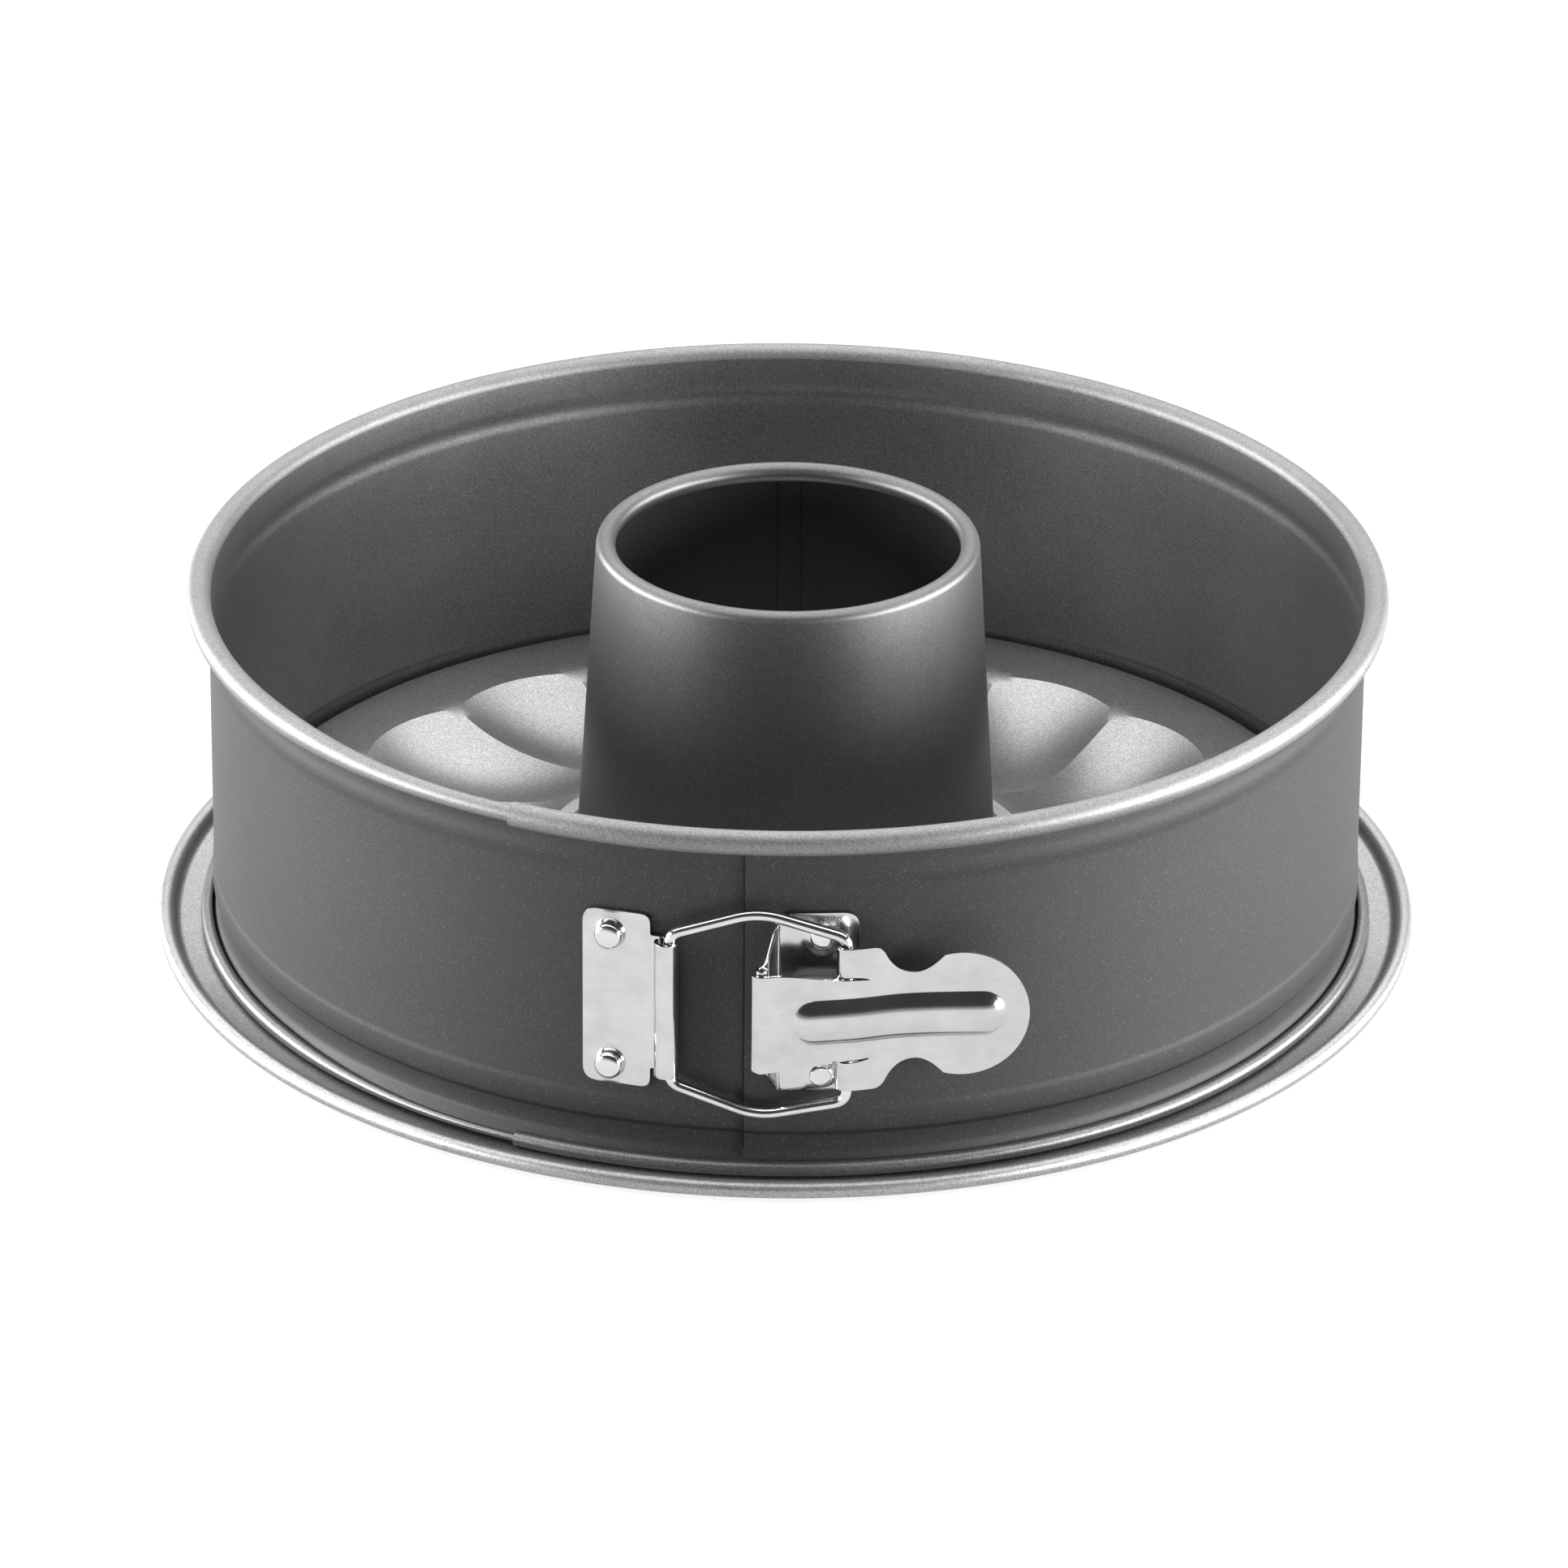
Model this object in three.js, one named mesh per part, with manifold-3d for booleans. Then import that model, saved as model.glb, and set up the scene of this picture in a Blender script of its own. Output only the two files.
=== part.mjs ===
// Ring-cake springform pan: a fluted base with a raised floor and a centre tube, an open steel ring that
// stands round the floor, and a toggle latch that draws the ring's two overlapping ends together.
// Millimetres, +Z up, the latch faces -Y. The origin is on the table under the middle of the base.
import * as THREE from 'three';
import { mergeVertices } from 'three/addons/utils/BufferGeometryUtils.js';
import Module from 'manifold-3d';

const wasm = await Module();
wasm.setup();

// Clearances
const SEAT_GAP = 0.3;
const SLIDE_GAP = 0.4;

// Ring, a strip of sheet steel
const WALL_INNER_RADIUS = 130;
const RING_SHEET = 0.45;
const RIM_TOP = 83.8;
const RIM_CURL_RADIUS = 2.7;
const FOOT_BEAD_RADIUS = 2;
const FOOT_BEAD_REACH = 3.4;
const NECK_DEPTH = 0.85;
const NECK_TOP = 9.4;
const BAND_BULGE = 0.7;
const BAND_HEIGHT = 4.2;
const BAND_FADE = 1.8;
const SWAGE_MARGIN = 2.1;
const SWAGE_SPAN = 6.4;
const SWAGE_BULGE = 0.45;

// Overlap of the ring's ends, as angles from the front towards +X
const WALL_EDGE_ANGLE = -3.9;
const GUIDE_END_ANGLE = -26;
const TAIL_END_ANGLE = 1;
const ROLL_END_ANGLE = -4.7;
const NEST_START_ANGLE = -60;
const NEST_END_ANGLE = -31;
const SPREAD_START_ANGLE = 62;
const SPREAD_END_ANGLE = 28;
const SPLIT_ANGLE = 90;
const SPLIT_GAP = 0.3;

// Base
const BASE_SHEET = 0.5;
const CHANNEL_WIDTH = 14.75;
const BASE_ROLL_RADIUS = 1.9;
const FLOOR_TOP = 13.8;
const FLOOR_EDGE_ROUND = 1.2;
const MARGIN_WIDTH = 14.85;
const MARGIN_DROP = 0.7;
const LAND_TOP = 12.8;
const LAND_WIDTH = 4.5;
const FLUTE_COUNT = 20;
const FLUTE_CUSP_INSET = 4;
const FLUTE_DEPTH = 10.4;
const FLUTE_RIDGE_DEPTH = 6.4;
const FLUTE_TWIST = 6;

// Centre tube
const TUBE_SHEET = 0.6;
const TUBE_TOP = 94.7;
const TUBE_TOP_RADIUS = 43.3;
const TUBE_FOOT_RADIUS = 47.9;
const TUBE_ROLL_RADIUS = 2.2;
const TUBE_FLANGE_WIDTH = 4.6;
const TUBE_FLARE_WIDTH = 3;

// Latch brackets and rivets
const LATCH_HEIGHT = 41.6;
const BRACKET_SHEET = 0.7;
const PLATE_CORNER = 2.6;
const CATCH_ANGLE = -16;
const CATCH_WIDTH = 15.2;
const CATCH_HEIGHT = 41.6;
const CATCH_DROP = 1.1;
const CATCH_RIVET_SHIFT = -1.2;
const CATCH_RIVET_INSET = 5.2;
const KNUCKLE_GAP = 0.65;
const KNUCKLE_LENGTH = 32;
const KNUCKLE_REACH = 4.2;
const MOUNT_ANGLE = 3.45;
const MOUNT_WIDTH = 16;
const MOUNT_HEIGHT = 42.4;
const MOUNT_RAISE = 1.1;
const MOUNT_RIVET_INSET = 4.6;
const FLANGE_REACH = 5.3;
const FLANGE_RISE = 6.9;
const FLANGE_ROOT_HEIGHT = 40;
const FLANGE_TIP_HEIGHT = 24.4;
const HINGE_BEAD_RADIUS = 1.3;
const RIVET_SHANK_RADIUS = 1.4;
const RIVET_DOME_RADIUS = 3.4;
const RIVET_DOME_HEIGHT = 2.1;
const RIVET_FLAT_RADIUS = 2.6;
const RIVET_FLAT_HEIGHT = 0.9;
const RIVET_TAIL_RADIUS = 2.2;
const RIVET_TAIL_HEIGHT = 0.7;

// Wire bail
const WIRE_RADIUS = 1.3;
const WIRE_BEND = 1.6;
const WIRE_APEX_CLEARANCE = 3.2;
const WIRE_EAR_CLEARANCE = 1.4;
const WIRE_JOINT_GAP = 1.2;

// Lever, with distances from its hinge
const LEVER_SHEET = 0.8;
const LEVER_ROLL_END_ANGLE = 196;
const LEVER_SETBACK = 1.6;
const LEVER_DIP = 4;
const TONGUE_HEIGHT = 22.8;
const TONGUE_NECK_HEIGHT = 19.2;
const EAR_DISTANCE = 18.5;
const EAR_LENGTH = 7;
const EAR_HEIGHT = 33.8;
const EAR_SLIT = 0.7;
const EAR_SLIT_DEPTH = 1.9;
const HOOK_GAP = 0.6;
const HOOK_END_ANGLE = 205;
const WAIST_DISTANCE = 33.2;
const WAIST_HEIGHT = 20.6;
const THUMB_DISTANCE = 43.2;
const THUMB_RADIUS = 14.6;
const RIB_START = 6.6;
const RIB_END_MARGIN = 5.1;
const RIB_WIDTH = 10;
const RIB_RISE = 2;

// Fineness of round shapes
const RING_STEP = 5;
const FLUTE_STEPS = 3;
const TUBE_STEPS = 32;
const ROUND_STEPS = 12;

const rad = THREE.MathUtils.degToRad;
const { lerp, smoothstep } = THREE.MathUtils;
const at = (x, y) => new THREE.Vector2(x, y);

// Ring's places
const stripOffset = RING_SHEET + SLIDE_GAP;
const wallMid = WALL_INNER_RADIUS + RING_SHEET / 2;
const wallOuter = WALL_INNER_RADIUS + RING_SHEET;
const neckInner = WALL_INNER_RADIUS - NECK_DEPTH;
const rimCurlMid = RIM_CURL_RADIUS - RING_SHEET / 2;
const rimCurlHeight = RIM_TOP - RIM_CURL_RADIUS;
const footBeadMid = FOOT_BEAD_RADIUS - RING_SHEET / 2;
const footBeadRadius = wallOuter + FOOT_BEAD_REACH - FOOT_BEAD_RADIUS;
const footBeadHeight = BASE_SHEET + SEAT_GAP + FOOT_BEAD_RADIUS;
const bandBottom = NECK_TOP + BAND_FADE;
const bandTop = bandBottom + BAND_HEIGHT;
const curlStart = rimCurlHeight - 1.4 * RIM_CURL_RADIUS;
const swageTop = curlStart - SWAGE_MARGIN;
const splitAngle = SPLIT_ANGLE - THREE.MathUtils.radToDeg(SPLIT_GAP / 2 / wallMid);

// Base's and tube's places
const floorRadius = neckInner - SEAT_GAP;
const baseRadius = floorRadius + CHANNEL_WIDTH;
const fluteTipRadius = floorRadius - MARGIN_WIDTH;
const tubeFlangeRadius = TUBE_FOOT_RADIUS + TUBE_FLANGE_WIDTH;
const fluteInnerRadius = tubeFlangeRadius + LAND_WIDTH;
const holeRadius = TUBE_FOOT_RADIUS + SEAT_GAP;

// Latch's places, in each bracket's own plan view
const catchBack = wallOuter + SEAT_GAP;
const mountBack = wallOuter + stripOffset + SEAT_GAP;
const catchRivetSpacing = CATCH_HEIGHT - 2 * CATCH_RIVET_INSET;
const mountRivetSpacing = MOUNT_HEIGHT - 2 * MOUNT_RIVET_INSET;
const knuckleMid = WIRE_RADIUS + KNUCKLE_GAP + BRACKET_SHEET / 2;
const catchLine = -(catchBack + BRACKET_SHEET / 2);
const mountLine = -(mountBack + BRACKET_SHEET / 2);
const knuckle = at(CATCH_WIDTH / 2 + KNUCKLE_REACH, catchLine - knuckleMid);
const wireSeat = at(knuckle.x + KNUCKLE_GAP - SEAT_GAP, knuckle.y);
const hinge = at(-MOUNT_WIDTH / 2 - FLANGE_REACH, mountLine - FLANGE_RISE);
const leverRollMid = HINGE_BEAD_RADIUS + SEAT_GAP + LEVER_SHEET / 2;
const leverLine = hinge.y - leverRollMid;
const hookMid = WIRE_RADIUS + HOOK_GAP + LEVER_SHEET / 2;
const hook = at(hinge.x + EAR_DISTANCE, leverLine + LEVER_SETBACK + hookMid);
const thumbEnd = THUMB_DISTANCE + THUMB_RADIUS;
const wireApex = FLANGE_ROOT_HEIGHT / 2 + WIRE_RADIUS + WIRE_APEX_CLEARANCE;
const wireCorner = EAR_HEIGHT / 2 + WIRE_RADIUS + WIRE_EAR_CLEARANCE;

// Finishes
function finish(color, roughness, metalness) {
  return new THREE.MeshStandardMaterial({ color, roughness, metalness });
}

const coating = (color, roughness) => finish(color, roughness, 0.3);
const plating = (color, roughness) => finish(color, roughness, 1);

function piece(name, geometry, material) {
  const mesh = new THREE.Mesh(geometry, material);
  mesh.name = name;
  return mesh;
}

// Solid form of a closed geometry, for joining and cutting
function solidOf(geometry) {
  const bare = geometry.clone();
  bare.deleteAttribute('normal');
  bare.deleteAttribute('uv');
  const merged = mergeVertices(bare, 1e-4);
  return new wasm.Manifold(new wasm.Mesh({
    numProp: 3,
    vertProperties: new Float32Array(merged.attributes.position.array),
    triVerts: new Uint32Array(merged.index.array),
  }));
}

function geometryOf(solid) {
  const mesh = solid.getMesh();
  const geometry = new THREE.BufferGeometry();
  geometry.setAttribute('position', new THREE.BufferAttribute(new Float32Array(mesh.vertProperties), 3));
  geometry.setIndex(new THREE.BufferAttribute(new Uint32Array(mesh.triVerts), 1));
  geometry.computeVertexNormals();
  return geometry;
}

function steps(from, to, count) {
  return Array.from({ length: count + 1 }, (_, i) => lerp(from, to, i / count));
}

function arc(centre, radius, angles) {
  return angles.map((angle) => at(
    centre.x + radius * Math.cos(rad(angle)),
    centre.y + radius * Math.sin(rad(angle)),
  ));
}

function turned(point, angle) {
  return point.clone().rotateAround(at(0, 0), rad(angle));
}

// Direction of a line of points at one of them, and how much longer a mitre is there than a square cut
function heading(path, i) {
  const into = path[Math.max(i, 1)].clone().sub(path[Math.max(i, 1) - 1]).normalize();
  const next = Math.min(i, path.length - 2);
  const out = path[next + 1].clone().sub(path[next]).normalize();
  const along = into.clone().add(out).normalize();
  return { across: at(-along.y, along.x), mitre: 1 / Math.max(along.dot(into), 0.5) };
}

// Closed outline of a sheet that follows a middle line
function sheetOutline(path, thickness) {
  const side = (sign) => path.map((point, i) => {
    const { across, mitre } = heading(path, i);
    return point.clone().addScaledVector(across, sign * mitre * thickness / 2);
  });
  return [...side(1), ...side(-1).reverse()];
}

// Skin over a row of sections of equal size; flat is a section's outline in its own plane, for the end caps
function skin(sections, flat) {
  const size = sections[0].length;
  const spans = flat ? sections.length - 1 : sections.length;
  const index = [];
  for (let i = 0; i < spans; i += 1) {
    const here = i * size;
    const next = ((i + 1) % sections.length) * size;
    for (let j = 0; j < size; j += 1) {
      const k = (j + 1) % size;
      index.push(here + j, next + j, next + k, here + j, next + k, here + k);
    }
  }
  if (flat) {
    const backwards = THREE.ShapeUtils.isClockWise(flat);
    THREE.ShapeUtils.triangulateShape(flat, []).forEach(([a, b, c]) => {
      const [p, q] = backwards ? [c, b] : [b, c];
      const last = spans * size;
      index.push(a, p, q, last + a, last + q, last + p);
    });
  }
  const geometry = new THREE.BufferGeometry();
  const position = sections.flat().flatMap((point) => point.toArray());
  geometry.setAttribute('position', new THREE.Float32BufferAttribute(position, 3));
  geometry.setIndex(index);
  return facingOut(geometry);
}

function facingOut(geometry) {
  const corner = (i) => new THREE.Vector3().fromBufferAttribute(geometry.attributes.position, i);
  const index = geometry.index.array;
  let volume = 0;
  for (let i = 0; i < index.length; i += 3) {
    volume += corner(index[i]).dot(corner(index[i + 1]).cross(corner(index[i + 2])));
  }
  if (volume < 0) {
    index.reverse();
  }
  geometry.computeVertexNormals();
  return geometry;
}

// Place of a (radius, height) point at an angle round the pan
function round(point, angle) {
  return new THREE.Vector3(point.x * Math.sin(rad(angle)), -point.x * Math.cos(rad(angle)), point.y);
}

// Open sweep of a (radius, height) outline round the pan
function sweep(outlineAt, from, to) {
  const angles = steps(from, to, Math.max(1, Math.round((to - from) / RING_STEP)));
  const sections = angles.map((angle) => outlineAt(angle).map((point) => round(point, angle)));
  return skin(sections, outlineAt(from));
}

// Part of a turn between two radii and two heights, for cutting
function sector(from, to, [inner, outer], [low, high]) {
  const outline = [at(inner, low), at(outer, low), at(outer, high), at(inner, high)];
  return solidOf(sweep(() => outline, from, to));
}

// Straight extrusions of a flat shape: up from (x, y), out towards -Y from (x, z), across from (y, z)
function extrudeUp(shape, from, to) {
  const settings = { depth: to - from, bevelEnabled: false, curveSegments: 6 };
  return new THREE.ExtrudeGeometry(shape, settings).translate(0, 0, from);
}

function extrudeOut(shape, from, to) {
  return extrudeUp(shape, from, to).rotateX(Math.PI / 2);
}

function extrudeAcross(shape, from, to) {
  return extrudeUp(shape, from, to).rotateY(Math.PI / 2).rotateX(Math.PI / 2);
}

function sheetUp(path, thickness, height) {
  return solidOf(extrudeUp(new THREE.Shape(sheetOutline(path, thickness)), -height / 2, height / 2));
}

function roundedPlate(width, height, corner) {
  const [x, z] = [width / 2 - corner, height / 2 - corner];
  const shape = new THREE.Shape();
  shape.absarc(x, z, corner, 0, Math.PI / 2);
  shape.absarc(-x, z, corner, Math.PI / 2, Math.PI);
  shape.absarc(-x, -z, corner, Math.PI, 1.5 * Math.PI);
  shape.absarc(x, -z, corner, 1.5 * Math.PI, 2 * Math.PI);
  return shape;
}

// Middle line of the ring's sheet, from the foot bead up to the rim's curl. The outer end of the strip is
// spread outwards by one strip; the rolls of the inner end are drawn small enough to run inside its rolls.
function ringPath(spread, nest) {
  const out = stripOffset * spread;
  const shrink = stripOffset * nest;
  const foot = at(footBeadRadius + out + shrink, footBeadHeight);
  const rim = at(wallMid + rimCurlMid + out + shrink, rimCurlHeight);
  const neck = neckInner + RING_SHEET / 2 + out;
  const band = wallMid + BAND_BULGE + out;
  return [
    ...arc(foot, footBeadMid - shrink, steps(120, -135, 6)),
    at(neck, lerp(footBeadHeight, NECK_TOP, 0.45)),
    at(neck, NECK_TOP),
    at(band, bandBottom),
    at(band, bandTop),
    at(wallMid + out, bandTop + BAND_FADE),
    at(wallMid + out, swageTop - SWAGE_SPAN),
    at(wallMid + SWAGE_BULGE + out, swageTop - SWAGE_SPAN / 2),
    at(wallMid + out, swageTop),
    at(wallMid + out, curlStart),
    ...arc(rim, rimCurlMid - shrink, steps(180, -120, 8)),
  ];
}

function ringStrip(from, to, spreadAt, nestAt) {
  return sweep((angle) => sheetOutline(ringPath(spreadAt(angle), nestAt(angle)), RING_SHEET), from, to);
}

// Holes through the ring and a bracket, one above the other
function rivetHoles(shift, spacing, radius) {
  return [-1, 1].map((side) => {
    const width = RIVET_SHANK_RADIUS + SEAT_GAP;
    const hole = new THREE.CylinderGeometry(width, width, 10, ROUND_STEPS);
    return hole.translate(shift, -radius, side * spacing / 2);
  });
}

function cutAll(solid, geometries) {
  return geometries.reduce((rest, geometry) => rest.subtract(solidOf(geometry)), solid);
}

function ringHoles(angle, height, shift, spacing) {
  return rivetHoles(shift, spacing, wallMid).map((hole) => hole.rotateZ(rad(angle)).translate(0, 0, height));
}

const ringFinish = () => coating(0x39393b, 0.42);

function ringBack() {
  const gap = SPLIT_ANGLE - splitAngle;
  const strip = ringStrip(SPLIT_ANGLE + gap, 360 - SPLIT_ANGLE - gap, () => 0, () => 0);
  return piece('ring_back', strip, ringFinish());
}

function ringLeftArm() {
  const nestAt = (angle) => smoothstep(angle, NEST_START_ANGLE, NEST_END_ANGLE);
  const strip = solidOf(ringStrip(-splitAngle, TAIL_END_ANGLE, () => 0, nestAt));
  const radii = [neckInner - RIM_CURL_RADIUS, baseRadius];
  const tail = [ROLL_END_ANGLE, TAIL_END_ANGLE + 1];
  const bare = strip
    .subtract(sector(...tail, radii, [curlStart - 1, RIM_TOP + 1]))
    .subtract(sector(...tail, radii, [-1, bandBottom]));
  const holes = ringHoles(CATCH_ANGLE, LATCH_HEIGHT - CATCH_DROP, CATCH_RIVET_SHIFT, catchRivetSpacing);
  const arm = cutAll(bare, holes);
  return piece('ring_left_arm', geometryOf(arm), ringFinish());
}

function ringRightArm() {
  const spreadAt = (angle) => 1 - smoothstep(angle, SPREAD_END_ANGLE, SPREAD_START_ANGLE);
  const strip = solidOf(ringStrip(GUIDE_END_ANGLE, splitAngle, spreadAt, () => 0));
  const window = [GUIDE_END_ANGLE - 1, WALL_EDGE_ANGLE];
  const inside = neckInner - RIM_CURL_RADIUS;
  const rimCut = wallMid + stripOffset + 0.32 * RIM_CURL_RADIUS;
  const footCut = footBeadRadius + stripOffset - 0.55 * FOOT_BEAD_RADIUS;
  const rimBottom = rimCurlHeight - 1.2 * RIM_CURL_RADIUS;
  const footTop = footBeadHeight + 1.2 * FOOT_BEAD_RADIUS;
  const bare = strip
    .subtract(sector(...window, [inside, rimCut], [rimBottom - 1, rimCurlHeight + 0.45 * RIM_CURL_RADIUS]))
    .subtract(sector(...window, [inside, baseRadius], [footTop, rimBottom]))
    .subtract(sector(...window, [inside, footCut], [-1, footTop + 1]));
  const arm = cutAll(bare, ringHoles(MOUNT_ANGLE, LATCH_HEIGHT, 0, mountRivetSpacing));
  return piece('ring_right_arm', geometryOf(arm), ringFinish());
}

// Middle line of the base's sheet, from the hole out to the rolled rim. Bowl is 0 on a ridge between two
// flutes and 1 in the middle of a flute.
function basePath(bowl) {
  const outer = fluteTipRadius - FLUTE_CUSP_INSET * (1 - bowl);
  const depth = lerp(FLUTE_RIDGE_DEPTH, FLUTE_DEPTH, bowl);
  const half = BASE_SHEET / 2;
  const flute = [0, 0.12, 0.35, 0.65, 0.88, 1].map((s) => at(
    lerp(fluteInnerRadius, outer, s),
    lerp(LAND_TOP, FLOOR_TOP - MARGIN_DROP, s) - half - depth * 4 * s * (1 - s),
  ));
  const edge = at(floorRadius - FLOOR_EDGE_ROUND, FLOOR_TOP - FLOOR_EDGE_ROUND);
  const roll = at(baseRadius - BASE_ROLL_RADIUS, BASE_ROLL_RADIUS);
  return [
    at(holeRadius, LAND_TOP - half),
    ...flute,
    ...arc(edge, FLOOR_EDGE_ROUND - half, [90, 45, 0]),
    at(floorRadius - half, half),
    ...arc(roll, BASE_ROLL_RADIUS - half, steps(-90, 195, 6)),
  ];
}

function basePlate() {
  const pitch = 360 / FLUTE_COUNT;
  const sections = [];
  for (let i = 0; i < FLUTE_COUNT * FLUTE_STEPS; i += 1) {
    const across = 2 * (i % FLUTE_STEPS) / FLUTE_STEPS - 1;
    const path = basePath(1 - across * across);
    const outline = sheetOutline(path, BASE_SHEET);
    sections.push(outline.map((point, j) => {
      const line = path[Math.min(j, outline.length - 1 - j)];
      const inward = 1 - smoothstep(line.x, fluteInnerRadius, fluteTipRadius - FLUTE_CUSP_INSET);
      return round(point, pitch * (i / FLUTE_STEPS - 0.5) - FLUTE_TWIST * inward);
    }));
  }
  return piece('base_plate', skin(sections), coating(0x464648, 0.38));
}

// The tube's foot is folded out over the land, passes through the hole and is flared out below it
function centerTube() {
  const half = TUBE_SHEET / 2;
  const wall = TUBE_FOOT_RADIUS - half;
  const below = LAND_TOP - BASE_SHEET - SEAT_GAP - half;
  const above = LAND_TOP + SEAT_GAP + half;
  const fold = above + TUBE_SHEET + SEAT_GAP;
  const roll = at(TUBE_TOP_RADIUS - TUBE_ROLL_RADIUS, TUBE_TOP - TUBE_ROLL_RADIUS);
  const outline = sheetOutline([
    at(wall + TUBE_FLARE_WIDTH, below),
    at(wall, below),
    at(wall, above),
    at(tubeFlangeRadius - half, above),
    at(tubeFlangeRadius - half, fold),
    at(wall, fold),
    ...arc(roll, TUBE_ROLL_RADIUS - half, steps(0, 250, 6)),
  ], TUBE_SHEET);
  const angles = steps(0, 360, TUBE_STEPS).slice(0, -1);
  const sections = angles.map((angle) => outline.map((point) => round(point, angle)));
  return piece('center_tube', skin(sections), coating(0x2e2e30, 0.5));
}

function catchBracket() {
  const outline = roundedPlate(CATCH_WIDTH, CATCH_HEIGHT, PLATE_CORNER);
  const plate = solidOf(extrudeOut(outline, catchBack, catchBack + BRACKET_SHEET));
  const root = at(CATCH_WIDTH / 2 - PLATE_CORNER, catchLine);
  const path = [root, ...arc(knuckle, knuckleMid, steps(90, -200, 10))];
  const bracket = plate.add(sheetUp(path, BRACKET_SHEET, KNUCKLE_LENGTH));
  const solid = cutAll(bracket, rivetHoles(CATCH_RIVET_SHIFT, catchRivetSpacing, catchBack));
  return piece('catch_bracket', geometryOf(solid), plating(0xb9bcc0, 0.3));
}

function mountBracket() {
  const outline = roundedPlate(MOUNT_WIDTH, MOUNT_HEIGHT, PLATE_CORNER);
  const slab = extrudeOut(outline, mountBack, mountBack + BRACKET_SHEET);
  const plate = solidOf(slab.translate(0, 0, MOUNT_RAISE));
  const root = -MOUNT_WIDTH / 2;
  const start = at(root + PLATE_CORNER, mountLine);
  const path = [start, at(root - 1, mountLine), at(root - 2, mountLine - 0.8), hinge];
  const [base, tip] = [FLANGE_ROOT_HEIGHT / 2, FLANGE_TIP_HEIGHT / 2];
  const back = -mountBack + 1;
  const front = -mountBack - BRACKET_SHEET;
  const side = new THREE.Shape([
    at(back, -base), at(back, base), at(front, base), at(hinge.y, tip), at(hinge.y - 1, tip),
    at(hinge.y - 1, -tip), at(hinge.y, -tip), at(front, -base),
  ]);
  const taper = solidOf(extrudeAcross(side, hinge.x - HINGE_BEAD_RADIUS, 0));
  const flange = sheetUp(path, BRACKET_SHEET, MOUNT_HEIGHT).intersect(taper);
  const thick = HINGE_BEAD_RADIUS;
  const bead = new THREE.CylinderGeometry(thick, thick, FLANGE_TIP_HEIGHT, ROUND_STEPS);
  const pin = solidOf(bead.rotateX(Math.PI / 2).translate(hinge.x, hinge.y, 0));
  const solid = cutAll(plate.add(flange).add(pin), rivetHoles(0, mountRivetSpacing, mountBack));
  return piece('mount_bracket', geometryOf(solid), plating(0xa9acb0, 0.32));
}

// Rivet along -Y through a ring wall and a bracket plate
function rivet(name, wallInside, plateFront, domed) {
  const inside = wallInside - SEAT_GAP;
  const front = plateFront + SEAT_GAP;
  const radius = domed ? RIVET_DOME_RADIUS : RIVET_FLAT_RADIUS;
  const height = domed ? RIVET_DOME_HEIGHT : RIVET_FLAT_HEIGHT;
  const shoulders = domed ? [[0.86, 0.55], [0.62, 0.92]] : [[1, 0.6], [0.85, 1]];
  const head = shoulders.map(([wide, high]) => at(wide * radius, front + high * height));
  const profile = [
    at(0, inside - RIVET_TAIL_HEIGHT),
    at(RIVET_TAIL_RADIUS, inside - RIVET_TAIL_HEIGHT),
    at(RIVET_TAIL_RADIUS, inside),
    at(RIVET_SHANK_RADIUS, inside),
    at(RIVET_SHANK_RADIUS, front),
    at(radius, front),
    ...head,
    at(0, front + height),
  ];
  const geometry = new THREE.LatheGeometry(profile, ROUND_STEPS).rotateX(Math.PI);
  return piece(name, geometry, plating(0xc8cace, 0.25));
}

function rivetPair(side, shift, spacing, ...sizes) {
  return [[-1, 'lower'], [1, 'upper']].map(([sign, place]) => {
    const mesh = rivet(`${side}_rivet_${place}`, ...sizes);
    mesh.position.set(shift, 0, sign * spacing / 2);
    return mesh;
  });
}

function leverPath() {
  const line = new THREE.SplineCurve([
    at(hinge.x, leverLine),
    at(hook.x, leverLine + LEVER_SETBACK),
    at(hinge.x + WAIST_DISTANCE, leverLine + LEVER_DIP),
    at(hinge.x + thumbEnd, leverLine + LEVER_DIP),
  ]);
  return line.getPoints(12);
}

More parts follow.
